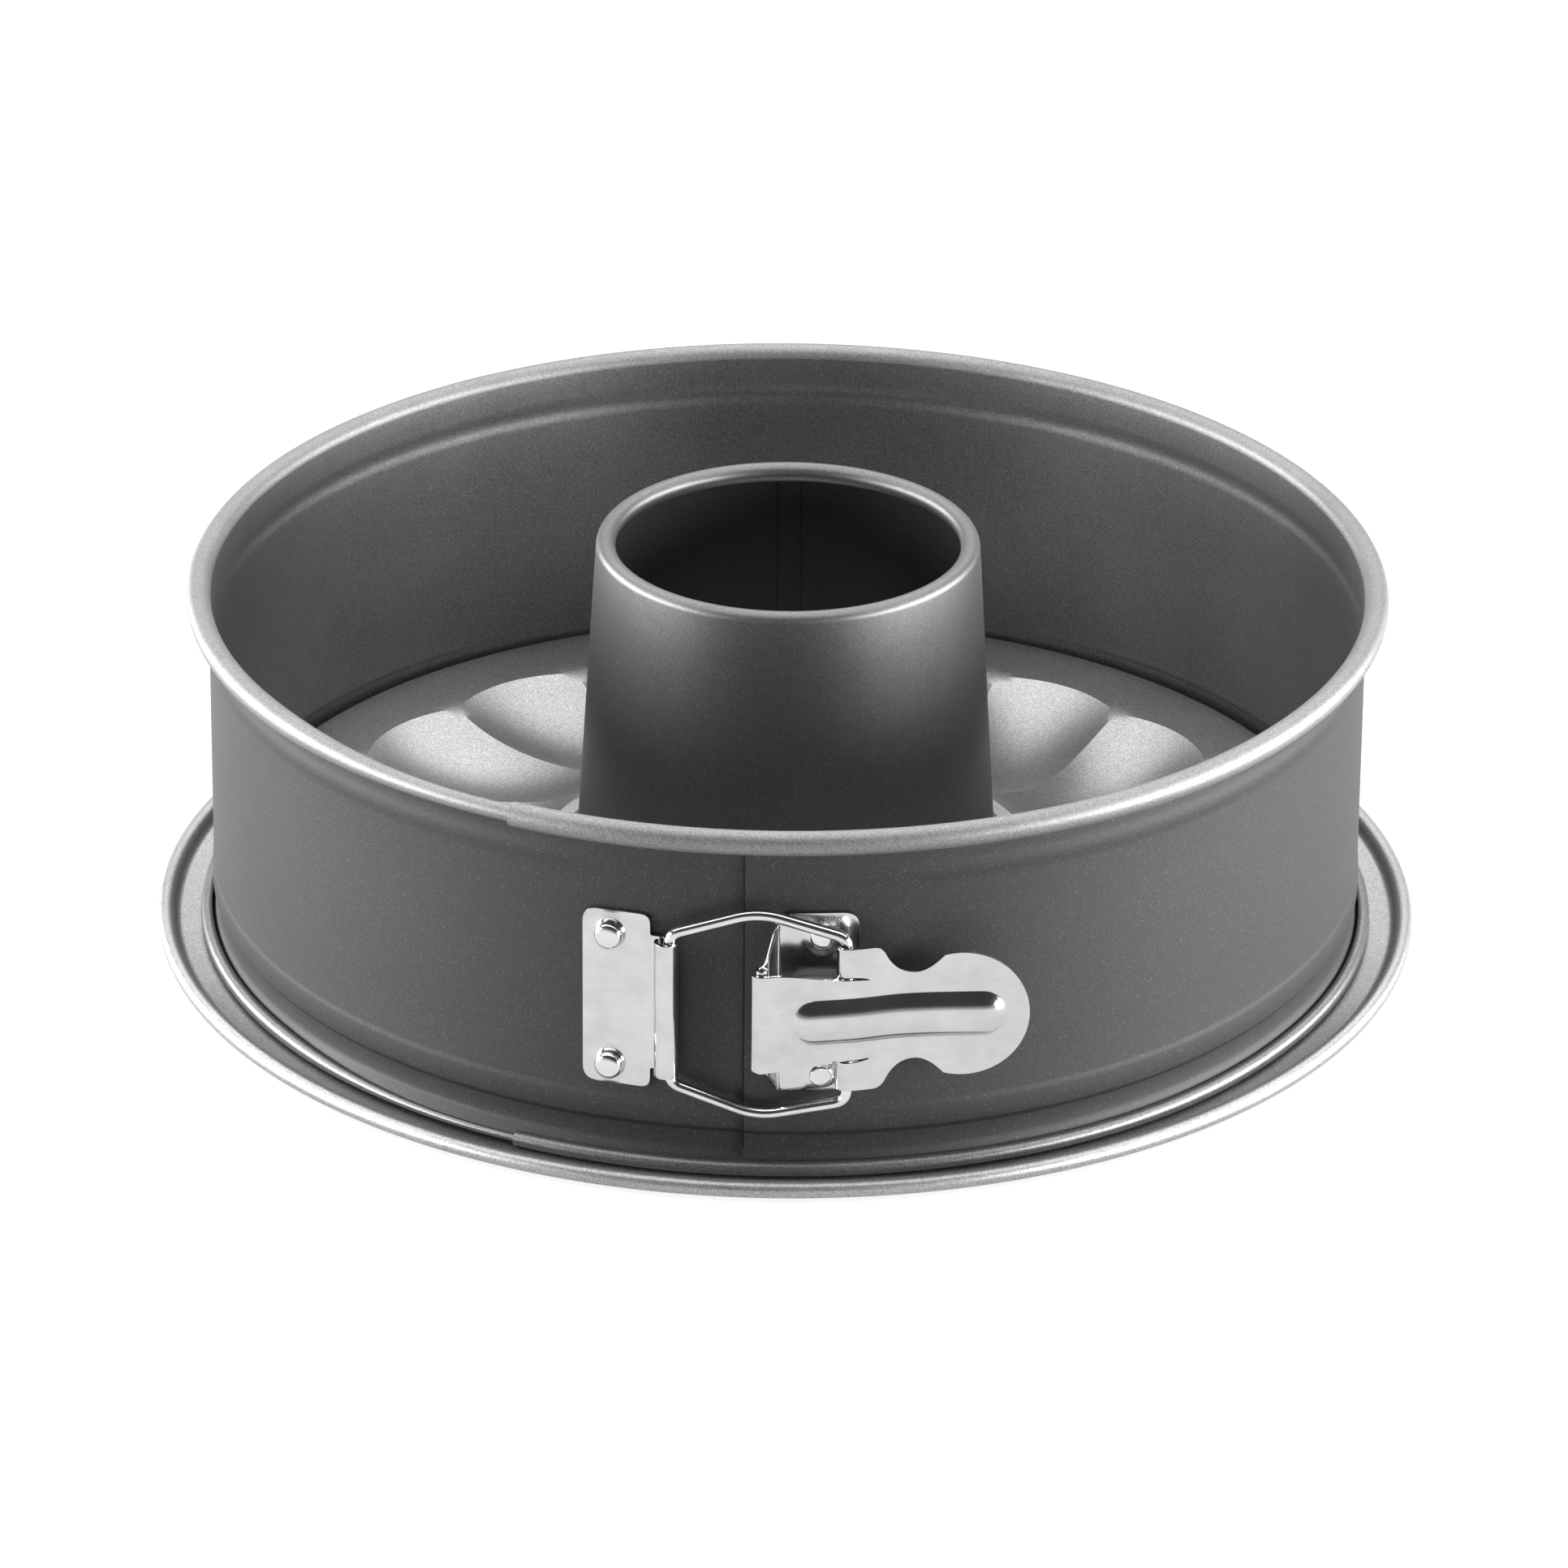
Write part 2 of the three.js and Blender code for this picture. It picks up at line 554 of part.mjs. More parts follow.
// Lever's face from the front: hinge roll, tongue, two hooked ears cut free by slits, waist and thumb pad
function leverFace() {
  const x = (distance) => hinge.x + distance;
  const shape = new THREE.Shape();
  const half = (sign) => [
    at(x(0.25 * EAR_DISTANCE), sign * TONGUE_HEIGHT / 2),
    at(hook.x, sign * TONGUE_NECK_HEIGHT / 2),
    at(hook.x + EAR_SLIT_DEPTH, sign * TONGUE_NECK_HEIGHT / 2),
    at(hook.x + EAR_SLIT_DEPTH, sign * (TONGUE_NECK_HEIGHT / 2 + EAR_SLIT)),
    at(hook.x, sign * (TONGUE_NECK_HEIGHT / 2 + EAR_SLIT)),
    at(hook.x, sign * EAR_HEIGHT / 2),
    at(hook.x + EAR_LENGTH, sign * EAR_HEIGHT / 2),
  ];
  const shoulder = at(x(THUMB_DISTANCE) - 0.26 * THUMB_RADIUS, 0.966 * THUMB_RADIUS);
  const [waist, neck] = [x(WAIST_DISTANCE), WAIST_HEIGHT / 2];
  const cheek = lerp(waist, shoulder.x, 0.45);
  const slope = lerp(hook.x + EAR_LENGTH, waist, 0.42);
  shape.moveTo(x(-2 * leverRollMid), -TONGUE_HEIGHT / 2);
  half(-1).forEach((point) => shape.lineTo(point.x, point.y));
  shape.quadraticCurveTo(slope, -neck, waist, -neck);
  shape.quadraticCurveTo(cheek, -neck, shoulder.x, -shoulder.y);
  shape.absarc(x(THUMB_DISTANCE), 0, THUMB_RADIUS, rad(-105), rad(105));
  shape.quadraticCurveTo(cheek, neck, waist, neck);
  shape.quadraticCurveTo(slope, neck, hook.x + EAR_LENGTH, EAR_HEIGHT / 2);
  half(1).reverse().slice(1).forEach((point) => shape.lineTo(point.x, point.y));
  shape.lineTo(x(-2 * leverRollMid), TONGUE_HEIGHT / 2);
  return shape;
}

// Band of the lever's sheet between two depths in front of its middle line, inside a long rounded outline
function ribBlock(inset, low, high) {
  const path = leverPath().map((point) => at(point.x, point.y - (low + high) / 2));
  const length = thumbEnd - RIB_END_MARGIN - RIB_START;
  const outline = roundedPlate(length - 2 * inset, RIB_WIDTH - 2 * inset, RIB_WIDTH / 2 - inset - 0.01);
  const prism = extrudeOut(outline, -leverLine - 2 * LEVER_DIP, -leverLine + 2 * LEVER_DIP);
  const slab = sheetUp(path, high - low, RIB_WIDTH);
  return slab.intersect(solidOf(prism.translate(hinge.x + RIB_START + length / 2, 0, 0)));
}

function latchLever() {
  const roll = arc(hinge, leverRollMid, steps(LEVER_ROLL_END_ANGLE, 270, 4));
  const sheet = sheetUp([...roll, ...leverPath().slice(1)], LEVER_SHEET, 2 * EAR_HEIGHT);
  const face = solidOf(extrudeOut(leverFace(), -leverLine - 3 * LEVER_DIP, -leverLine + 3 * LEVER_DIP));
  const ear = at(hook.x + EAR_SLIT_DEPTH, leverPath()[5].y);
  const lip = [...arc(hook, hookMid, steps(HOOK_END_ANGLE, 270, 4)), ear];
  const low = TONGUE_NECK_HEIGHT / 2 + EAR_SLIT;
  const high = EAR_HEIGHT / 2;
  const lips = [-1, 1].map((sign) => {
    const solid = sheetUp(lip, LEVER_SHEET, high - low);
    return solid.translate([0, 0, sign * (low + high) / 2]);
  });
  const rib = ribBlock(0, 0, RIB_RISE + LEVER_SHEET / 2);
  const hollow = ribBlock(LEVER_SHEET, -LEVER_SHEET, RIB_RISE - LEVER_SHEET / 2);
  const solid = sheet.intersect(face).add(lips[0]).add(lips[1]).add(rib).subtract(hollow);
  return piece('latch_lever', geometryOf(solid), plating(0xc2c5c9, 0.24));
}

// Round wire along a flat line of points, bent in the (x, z) plane
function wireAlong(path) {
  const ring = steps(0, 360, 8).slice(0, -1).map((angle) => at(Math.cos(rad(angle)), Math.sin(rad(angle))));
  const sections = path.map((point, i) => ring.map((spot) => {
    const { across, mitre } = heading(path, i);
    const place = point.clone().addScaledVector(across, spot.x * mitre * WIRE_RADIUS);
    return new THREE.Vector3(place.x, spot.y * WIRE_RADIUS, place.y);
  }));
  return skin(sections, ring);
}

// Rounds the inner corners of a line of points
function softened(path, reach) {
  return path.flatMap((point, i) => {
    if (i === 0 || i === path.length - 1) {
      return [point];
    }
    const towards = (other) => point.clone().add(other.clone().sub(point).setLength(reach));
    const bend = new THREE.QuadraticBezierCurve(towards(path[i - 1]), point, towards(path[i + 1]));
    return bend.getPoints(3);
  });
}

// Bail from its two ends in the knuckle, round both arms, to the bar that lies in the lever's hooks
function wireBail() {
  const from = turned(wireSeat, CATCH_ANGLE);
  const span = turned(hook, MOUNT_ANGLE).sub(from);
  const half = [
    at(0, WIRE_JOINT_GAP / 2),
    at(0, KNUCKLE_LENGTH / 2 + WIRE_BEND + SEAT_GAP),
    at(span.length() / 2, wireApex),
    at(span.length(), wireCorner),
  ];
  const mirrored = half.map((point) => at(point.x, -point.y)).reverse();
  const wire = wireAlong(softened([...half, ...mirrored], WIRE_BEND));
  const mesh = piece('wire_bail', wire, plating(0xc6c8cc, 0.22));
  mesh.position.set(from.x, from.y, LATCH_HEIGHT - CATCH_DROP);
  mesh.rotation.z = span.angle();
  return mesh;
}

function latchSide(name, angle, height, meshes) {
  const group = new THREE.Group();
  group.name = name;
  group.rotation.z = rad(angle);
  group.position.z = height;
  group.add(...meshes);
  return group;
}

function pan() {
  const catchFront = catchBack + BRACKET_SHEET;
  const mountFront = mountBack + BRACKET_SHEET;
  const catchRivets = rivetPair(
    'catch', CATCH_RIVET_SHIFT, catchRivetSpacing, WALL_INNER_RADIUS, catchFront, true,
  );
  const mountRivets = rivetPair(
    'mount', 0, mountRivetSpacing, WALL_INNER_RADIUS + stripOffset, mountFront, false,
  );
  const group = new THREE.Group();
  group.name = 'cake_pan';
  group.add(basePlate(), centerTube(), ringBack(), ringLeftArm(), ringRightArm(), wireBail());
  const catchPieces = [catchBracket(), ...catchRivets];
  const leverPieces = [mountBracket(), latchLever(), ...mountRivets];
  group.add(latchSide('catch_side', CATCH_ANGLE, LATCH_HEIGHT - CATCH_DROP, catchPieces));
  group.add(latchSide('lever_side', MOUNT_ANGLE, LATCH_HEIGHT, leverPieces));
  return group;
}

export default pan();
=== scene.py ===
import logging
import math
from dataclasses import dataclass
from enum import Enum
from typing import Callable, Iterable, Optional, Sequence

import bmesh
import bpy
import numpy as np
from mathutils import Matrix, Vector


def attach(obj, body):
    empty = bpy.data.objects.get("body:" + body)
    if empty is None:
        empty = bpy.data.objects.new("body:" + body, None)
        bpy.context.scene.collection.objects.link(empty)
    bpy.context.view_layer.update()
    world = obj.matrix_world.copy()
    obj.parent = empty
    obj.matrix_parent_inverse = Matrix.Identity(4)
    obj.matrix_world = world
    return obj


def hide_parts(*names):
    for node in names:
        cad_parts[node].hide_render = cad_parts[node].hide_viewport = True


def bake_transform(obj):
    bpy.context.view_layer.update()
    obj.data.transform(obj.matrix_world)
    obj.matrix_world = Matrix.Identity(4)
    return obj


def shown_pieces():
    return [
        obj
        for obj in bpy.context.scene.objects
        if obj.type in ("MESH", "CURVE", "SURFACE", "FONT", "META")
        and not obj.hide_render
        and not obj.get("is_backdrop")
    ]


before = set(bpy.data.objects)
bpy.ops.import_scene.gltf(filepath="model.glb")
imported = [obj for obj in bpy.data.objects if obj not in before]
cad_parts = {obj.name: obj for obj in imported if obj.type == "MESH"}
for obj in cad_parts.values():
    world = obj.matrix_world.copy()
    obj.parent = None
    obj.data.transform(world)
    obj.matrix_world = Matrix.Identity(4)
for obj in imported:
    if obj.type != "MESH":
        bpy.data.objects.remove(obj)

log = logging.getLogger("cake_pan")

MM = 0.001
Point = tuple[float, float]
Obj = bpy.types.Object


class Body(Enum):
    """Bodies of the frame that pieces ride on."""

    BASE = "base"
    REAR = "ring_rear"
    LEFT = "left_arm"
    RIGHT = "right_arm"
    LEVER = "lever"
    BAIL = "bail"


class Slot(Enum):
    """Material slots of the record."""

    FLOOR = "floor_coating"
    TUBE = "tube_coating"
    RING = "ring_coating"
    SHEET = "plated_sheet"
    LEVER = "lever_sheet"
    WIRE = "wire_steel"
    RIVET = "rivet_steel"


class Side(Enum):
    """The two halves of the ring, by the sign of X."""

    LEFT = -1
    RIGHT = 1


def lerp(a: float, b: float, t: float) -> float:
    """Value between a and b."""
    return a + (b - a) * t


def spread_over(a: float, b: float, count: int) -> list[float]:
    """Evenly spaced values from a to b, both included."""
    return [lerp(a, b, i / count) for i in range(count + 1)]


def smooth(x: np.ndarray, low: float, high: float) -> np.ndarray:
    """Soft step from 0 at low to 1 at high."""
    t = np.clip((np.asarray(x, dtype=float) - low) / (high - low), 0.0, 1.0)
    return t * t * (3.0 - 2.0 * t)


def arc(centre: Point, radius: float, angles: Iterable[float]) -> list[Point]:
    """Points on an arc, with angles in degrees."""
    return [
        (centre[0] + radius * math.cos(math.radians(a)), centre[1] + radius * math.sin(math.radians(a)))
        for a in angles
    ]


def soft_line(start: Point, end: Point, count: int) -> list[Point]:
    """S-shaped line between two (radius, height) points that leaves and arrives upright."""
    return [
        (lerp(start[0], end[0], t * t * (3 - 2 * t)), lerp(start[1], end[1], t))
        for t in spread_over(0, 1, count)
    ]


def around(radius: float, angle: float, height: float) -> Vector:
    """Place in metres of a point round the pan, with its angle from the front towards +X."""
    a = math.radians(angle)
    return Vector((radius * math.sin(a), -radius * math.cos(a), height)) * MM


def bezier(a: Point, b: Point, c: Point, count: int) -> list[Point]:
    """Points on a quadratic curve from a to c, pulled towards b."""
    return [
        tuple((1 - t) ** 2 * p + 2 * t * (1 - t) * q + t * t * r for p, q, r in zip(a, b, c))
        for t in spread_over(0, 1, count)
    ]


class Bench:
    """Edit-mode work on one mesh object at a time."""

    @staticmethod
    def clear() -> None:
        """Goes back to object mode and deselects everything."""
        if bpy.context.mode != "OBJECT":
            bpy.ops.object.mode_set(mode="OBJECT")
        bpy.ops.object.select_all(action="DESELECT")

    @classmethod
    def line(cls, name: str, points: Sequence[Vector]) -> Obj:
        """Extrudes a point along a line and stays in edit mode with the whole line selected.

        Args:
            name: name of the new object.
            points: places in metres.

        Returns:
            The object that is being edited.
        """
        cls.clear()
        bpy.ops.mesh.primitive_plane_add(size=MM, location=points[0])
        obj = bpy.context.object
        obj.name = name
        obj.data.name = name
        bpy.ops.object.mode_set(mode="EDIT")
        bpy.ops.mesh.select_all(action="SELECT")
        bpy.ops.mesh.merge(type="CENTER")
        for here, there in zip(points, points[1:]):
            bpy.ops.mesh.extrude_vertices_move(TRANSFORM_OT_translate={"value": there - here})
        bpy.ops.mesh.select_all(action="SELECT")
        return obj

    @staticmethod
    def spin(turn: float, steps: int) -> None:
        """Spins the selected line round the pan's axis by a turn in degrees, towards +X from the front."""
        bpy.ops.mesh.spin(steps=steps, angle=-math.radians(turn), center=(0, 0, 0), axis=(0, 0, 1))

    @staticmethod
    def select(obj: Obj, wanted: Callable[[Vector], bool]) -> None:
        """Selects the vertices whose place in metres is wanted, and the edges between them."""
        mesh = bmesh.from_edit_mesh(obj.data)
        world = obj.matrix_world
        for part in (mesh.faces, mesh.edges, mesh.verts):
            for item in part:
                item.select = False
        for vert in mesh.verts:
            vert.select = wanted(world @ vert.co)
        mesh.select_flush(True)
        bmesh.update_edit_mesh(obj.data)

    @classmethod
    def weld(cls, obj: Obj) -> None:
        """Merges doubles, turns the faces one way and puts the object's origin at the pan's origin."""
        bpy.ops.mesh.select_all(action="SELECT")
        bpy.ops.mesh.remove_doubles(threshold=0.002 * MM)
        bpy.ops.mesh.normals_make_consistent(inside=False)
        bpy.ops.object.mode_set(mode="OBJECT")
        bpy.ops.object.transform_apply(location=True, rotation=True, scale=True)

    @staticmethod
    def places(obj: Obj) -> np.ndarray:
        """Places of an object's vertices in millimetres."""
        flat = np.empty(3 * len(obj.data.vertices))
        obj.data.vertices.foreach_get("co", flat)
        return flat.reshape(-1, 3) / MM

    @staticmethod
    def move(obj: Obj, places: np.ndarray) -> None:
        """Moves an object's vertices to places in millimetres."""
        obj.data.vertices.foreach_set("co", (places * MM).ravel())
        obj.data.update()

    @classmethod
    def thicken(cls, obj: Obj, sheet: float, two_faced: bool = False) -> None:
        """Gives a surface the thickness of its sheet, half to each side, and points its faces outwards.

        Args:
            obj: the surface.
            sheet: its thickness in millimetres.
            two_faced: gives the two sides of the sheet material slots of their own.
        """
        cls.clear()
        obj.select_set(True)
        bpy.context.view_layer.objects.active = obj
        modifier = obj.modifiers.new("sheet", "SOLIDIFY")
        modifier.thickness = sheet * MM
        modifier.offset = 0.0
        modifier.use_even_offset = True
        modifier.use_quality_normals = True
        if two_faced:
            obj.data.materials.append(None)
            obj.data.materials.append(None)
            modifier.material_offset = 1
        bpy.ops.object.modifier_apply(modifier=modifier.name)
        cls.face_out(obj)

    @classmethod
    def soften(cls, obj: Obj, width: float, angle: float = 50.0) -> None:
        """Rounds an object's sharp edges by a small bevel."""
        cls.clear()
        obj.select_set(True)
        bpy.context.view_layer.objects.active = obj
        modifier = obj.modifiers.new("edge", "BEVEL")
        modifier.width = width * MM
        modifier.segments = 2
        modifier.limit_method = "ANGLE"
        modifier.angle_limit = math.radians(angle)
        modifier.harden_normals = False
        bpy.ops.object.modifier_apply(modifier=modifier.name)

    @classmethod
    def face_out(cls, obj: Obj) -> None:
        """Points a closed object's faces outwards."""
        cls.clear()
        obj.select_set(True)
        bpy.context.view_layer.objects.active = obj
        bpy.ops.object.mode_set(mode="EDIT")
        bpy.ops.mesh.select_all(action="SELECT")
        bpy.ops.mesh.normals_make_consistent(inside=False)
        bpy.ops.object.mode_set(mode="OBJECT")

    @classmethod
    def shade(cls, obj: Obj, angle: float = 35.0) -> None:
        """Shades an object smooth, with creases where its faces meet at more than an angle."""
        cls.clear()
        obj.select_set(True)
        bpy.context.view_layer.objects.active = obj
        bpy.ops.object.shade_smooth_by_angle(angle=math.radians(angle))

    @classmethod
    def join(cls, target: Obj, *others: Obj) -> None:
        """Joins other objects into a target."""
        cls.clear()
        for obj in (*others, target):
            obj.select_set(True)
        bpy.context.view_layer.objects.active = target
        bpy.ops.object.join()

    @classmethod
    def flat(cls, name: str, outline: Sequence[Point], cuts: Sequence[float], levels: Sequence[float]) -> Obj:
        """Fills a flat outline and cuts it into small cells, so that it can be pressed and bent.

        Args:
            name: name of the new object.
            outline: points along the edge, as length along the sheet and height, in millimetres.
            cuts: lengths at which the sheet is cut across.
            levels: heights at which it is cut along.

        Returns:
            The flat sheet, in object mode.
        """
        obj = cls.line(name, [Vector((u, 0, z)) * MM for u, z in outline])
        bpy.ops.mesh.edge_face_add()
        for u in cuts:
            bpy.ops.mesh.select_all(action="SELECT")
            bpy.ops.mesh.bisect(plane_co=(u * MM, 0, 0), plane_no=(1, 0, 0))
        for z in levels:
            bpy.ops.mesh.select_all(action="SELECT")
            bpy.ops.mesh.bisect(plane_co=(0, 0, z * MM), plane_no=(0, 0, 1))
        cls.weld(obj)
        return obj


@dataclass(frozen=True)
class Path:
    """Plan line that a bent sheet follows, in a bracket's own (x, y) view."""

    points: tuple[Point, ...]

    def lengths(self) -> np.ndarray:
        """Length along the line at each of its points."""
        gaps = np.diff(np.array(self.points), axis=0)
        return np.concatenate([[0.0], np.cumsum(np.hypot(gaps[:, 0], gaps[:, 1]))])

    def length_at(self, x: float, after: float = 0.0) -> float:
        """Length along the line where it first passes an x after a given length."""
        lengths = self.lengths()
        for i in range(len(lengths) - 1):
            a, b = self.points[i][0], self.points[i + 1][0]
            if lengths[i] >= after and min(a, b) <= x <= max(a, b):
                return float(lerp(lengths[i], lengths[i + 1], (x - a) / (b - a)))
        return float(lengths[-1])

    def bend(self, along: np.ndarray, off: np.ndarray) -> tuple[np.ndarray, np.ndarray]:
        """Plan places of points at lengths along the line and distances to its left.

        Args:
            along: lengths along the line.
            off: distances to the left of the line.

        Returns:
            The x and y of each point.
        """
        line = np.array(self.points)
        lengths = self.lengths()
        spot = np.stack([np.interp(along, lengths, line[:, k]) for k in (0, 1)], axis=1)
        ahead = np.stack([np.interp(along + 0.2, lengths, line[:, k]) for k in (0, 1)], axis=1)
        behind = np.stack([np.interp(along - 0.2, lengths, line[:, k]) for k in (0, 1)], axis=1)
        way = ahead - behind
        way /= np.maximum(np.linalg.norm(way, axis=1, keepdims=True), 1e-9)
        return spot[:, 0] - way[:, 1] * off, spot[:, 1] + way[:, 0] * off


@dataclass(frozen=True)
class Stand:
    """Place of a bracket on the ring: its angle from the front and the height of its middle."""

    angle: float
    height: float

    def set(self, x: np.ndarray, y: np.ndarray, z: np.ndarray) -> np.ndarray:
        """Places in the pan's frame of points in the bracket's own frame, in millimetres."""
        c, s = math.cos(math.radians(self.angle)), math.sin(math.radians(self.angle))
        return np.stack([x * c - y * s, x * s + y * c, z + self.height], axis=1)

    def point(self, x: float, y: float, z: float) -> Vector:
        """Place in metres of one point in the bracket's own frame."""
        return Vector(self.set(np.array([x]), np.array([y]), np.array([z]))[0]) * MM

    def outward(self) -> Vector:
        """Direction away from the pan's axis."""
        a = math.radians(self.angle)
        return Vector((math.sin(a), -math.cos(a), 0.0))


class Nodes:
    """Small helper to lay out the nodes of one material."""

    def __init__(self, name: str) -> None:
        """Starts a material with an empty principled shader."""
        self.material = bpy.data.materials.new(name)
        self.material.use_nodes = True
        self.tree = self.material.node_tree
        self.shader = self.tree.nodes["Principled BSDF"]
        self.coords = self.add("ShaderNodeTexCoord").outputs["Object"]

    def add(self, kind: str, **settings: object) -> bpy.types.Node:
        """Adds a node and sets its plain properties."""
        node = self.tree.nodes.new(kind)
        for key, value in settings.items():
            setattr(node, key, value)
        return node

    def link(self, source: bpy.types.NodeSocket, target: bpy.types.NodeSocket) -> None:
        """Links two sockets."""
        self.tree.links.new(source, target)

    def stretched(self, scale: Sequence[float]) -> bpy.types.NodeSocket:
        """Object coordinates stretched along the axes."""
        node = self.add("ShaderNodeMapping")
        node.inputs["Scale"].default_value = scale
        self.link(self.coords, node.inputs["Vector"])
        return node.outputs["Vector"]

    def noise(self, scale: float, detail: float, vector: Optional[bpy.types.NodeSocket] = None) -> bpy.types.NodeSocket:
        """Noise over the object."""
        node = self.add("ShaderNodeTexNoise")
        node.inputs["Scale"].default_value = scale
        node.inputs["Detail"].default_value = detail
        self.link(vector or self.coords, node.inputs["Vector"])
        return node.outputs["Fac"]

    def ramp(self, value: bpy.types.NodeSocket, stops: Sequence[tuple[float, float]]) -> bpy.types.NodeSocket:
        """Grey ramp over a value, from (position, grey) stops."""
        node = self.add("ShaderNodeValToRGB")
        elements = node.color_ramp.elements
        while len(elements) < len(stops):
            elements.new(0.5)
        for element, (place, grey) in zip(elements, stops):
            element.position = place
            element.color = (grey, grey, grey, 1.0)
        self.link(value, node.inputs["Fac"])
        return node.outputs["Color"]

    def between(self, value: bpy.types.NodeSocket, low: float, high: float) -> bpy.types.NodeSocket:
        """Value spread from 0..1 to low..high."""
        node = self.add("ShaderNodeMapRange")
        node.inputs["To Min"].default_value = low
        node.inputs["To Max"].default_value = high
        self.link(value, node.inputs["Value"])
        return node.outputs["Result"]

    def blend(self, value: bpy.types.NodeSocket, dark: Sequence[float], light: Sequence[float]) -> bpy.types.NodeSocket:
        """Colour between two colours."""
        node = self.add("ShaderNodeMix", data_type="RGBA")
        node.inputs[6].default_value = (*dark, 1.0)
        node.inputs[7].default_value = (*light, 1.0)
        self.link(value, node.inputs[0])
        return node.outputs[2]

    def sum(self, a: bpy.types.NodeSocket, b: bpy.types.NodeSocket, share: float) -> bpy.types.NodeSocket:
        """First value plus a share of the second."""
        node = self.add("ShaderNodeMath", operation="MULTIPLY_ADD")
        self.link(b, node.inputs[0])
        node.inputs[1].default_value = share
        self.link(a, node.inputs[2])
        return node.outputs[0]

    def bump(self, value: bpy.types.NodeSocket, height: float, strength: float) -> None:
        """Bumps the shader's normal by a height in millimetres."""
        node = self.add("ShaderNodeBump")
        node.inputs["Strength"].default_value = strength
        node.inputs["Distance"].default_value = height * MM
        self.link(value, node.inputs["Height"])
        self.link(node.outputs["Normal"], self.shader.inputs["Normal"])


@dataclass(frozen=True)
class Coating:
    """Dark non-stick coating with a fine grain and small bright flakes."""

    name: str
    dark: float
    light: float
    flake: float
    roughness: float
    metallic: float
    gloss: float
    grain: float

    def material(self) -> bpy.types.Material:
        """Builds the coating's nodes."""
        nodes = Nodes(self.name)
        cells = nodes.add("ShaderNodeTexVoronoi")
        cells.inputs["Scale"].default_value = 5200.0
        nodes.link(nodes.coords, cells.inputs["Vector"])
        split = nodes.add("ShaderNodeSeparateColor")
        nodes.link(cells.outputs["Color"], split.inputs["Color"])
        tone = nodes.noise(2600.0, 2.0)
        cloud = nodes.noise(30.0, 3.0)
        mixed = nodes.sum(tone, cloud, 0.3)
        body = nodes.blend(
            nodes.ramp(mixed, [(0.45, 0.0), (0.85, 1.0)]), (self.dark,) * 3, (self.light, self.light, self.light * 1.02)
        )
        sparkle = nodes.ramp(split.outputs["Red"], [(0.94, 0.0), (0.995, 1.0)])
        flaked = nodes.add("ShaderNodeMix", data_type="RGBA")
        nodes.link(nodes.between(sparkle, 0.0, 0.5), flaked.inputs[0])
        nodes.link(body, flaked.inputs[6])
        flaked.inputs[7].default_value = (self.flake, self.flake, self.flake, 1.0)
        nodes.link(flaked.outputs[2], nodes.shader.inputs["Base Color"])
        nodes.link(nodes.between(tone, self.roughness - 0.06, self.roughness + 0.06), nodes.shader.inputs["Roughness"])
        nodes.shader.inputs["Metallic"].default_value = self.metallic
        nodes.shader.inputs["Specular IOR Level"].default_value = self.gloss
        nodes.bump(mixed, self.grain, 0.6)
        return nodes.material


@dataclass(frozen=True)
class Plating:
    """Bright plated steel with faint rolling marks and handling haze."""

    name: str
    dark: float
    light: float
    roughness: float
    grain: float

    def material(self) -> bpy.types.Material:
        """Builds the plating's nodes."""
        nodes = Nodes(self.name)
        haze = nodes.noise(160.0, 4.0)
        rolled = nodes.noise(900.0, 2.0, nodes.stretched((0.15, 0.15, 1.0)))
        mixed = nodes.sum(haze, rolled, 0.25)
        colour = nodes.blend(
            nodes.ramp(mixed, [(0.35, 0.0), (0.85, 1.0)]), (self.dark,) * 3, (self.light, self.light, self.light * 1.005)
        )
        nodes.link(colour, nodes.shader.inputs["Base Color"])
        nodes.link(nodes.between(mixed, self.roughness * 0.75, self.roughness * 1.3), nodes.shader.inputs["Roughness"])
        nodes.shader.inputs["Metallic"].default_value = 1.0
        nodes.bump(rolled, self.grain, 0.3)
        return nodes.material


def dress(
    obj: Obj,
    slot: Slot,
    finish: bpy.types.Material,
    inner: Optional[bpy.types.Material] = None,
    *marked: bpy.types.Material,
) -> None:
    """Gives a piece its finishes.

    Args:
        obj: the piece.
        slot: the record's slot that it takes its finish from; not used.
        finish: finish of the whole piece, or of the side of its sheet that faces away from the pan's axis.
        inner: finish of the side that faces the pan's axis, where the two differ.
        marked: finishes of the places that the piece has marked, in the order of their numbers.
    """
    if inner is None:
        obj.data.materials.clear()
        obj.data.materials.append(finish)
    else:
        facing = 0.0
        for face in obj.data.polygons:
            if face.material_index == 0 and 20.0 < face.center.z / MM < 60.0:
                facing += face.normal.x * face.center.x + face.normal.y * face.center.y
        sides = (finish, inner) if facing > 0.0 else (inner, finish)
        for index, side in enumerate(sides):
            obj.data.materials[index] = side
        for extra in marked:
            obj.data.materials.append(extra)


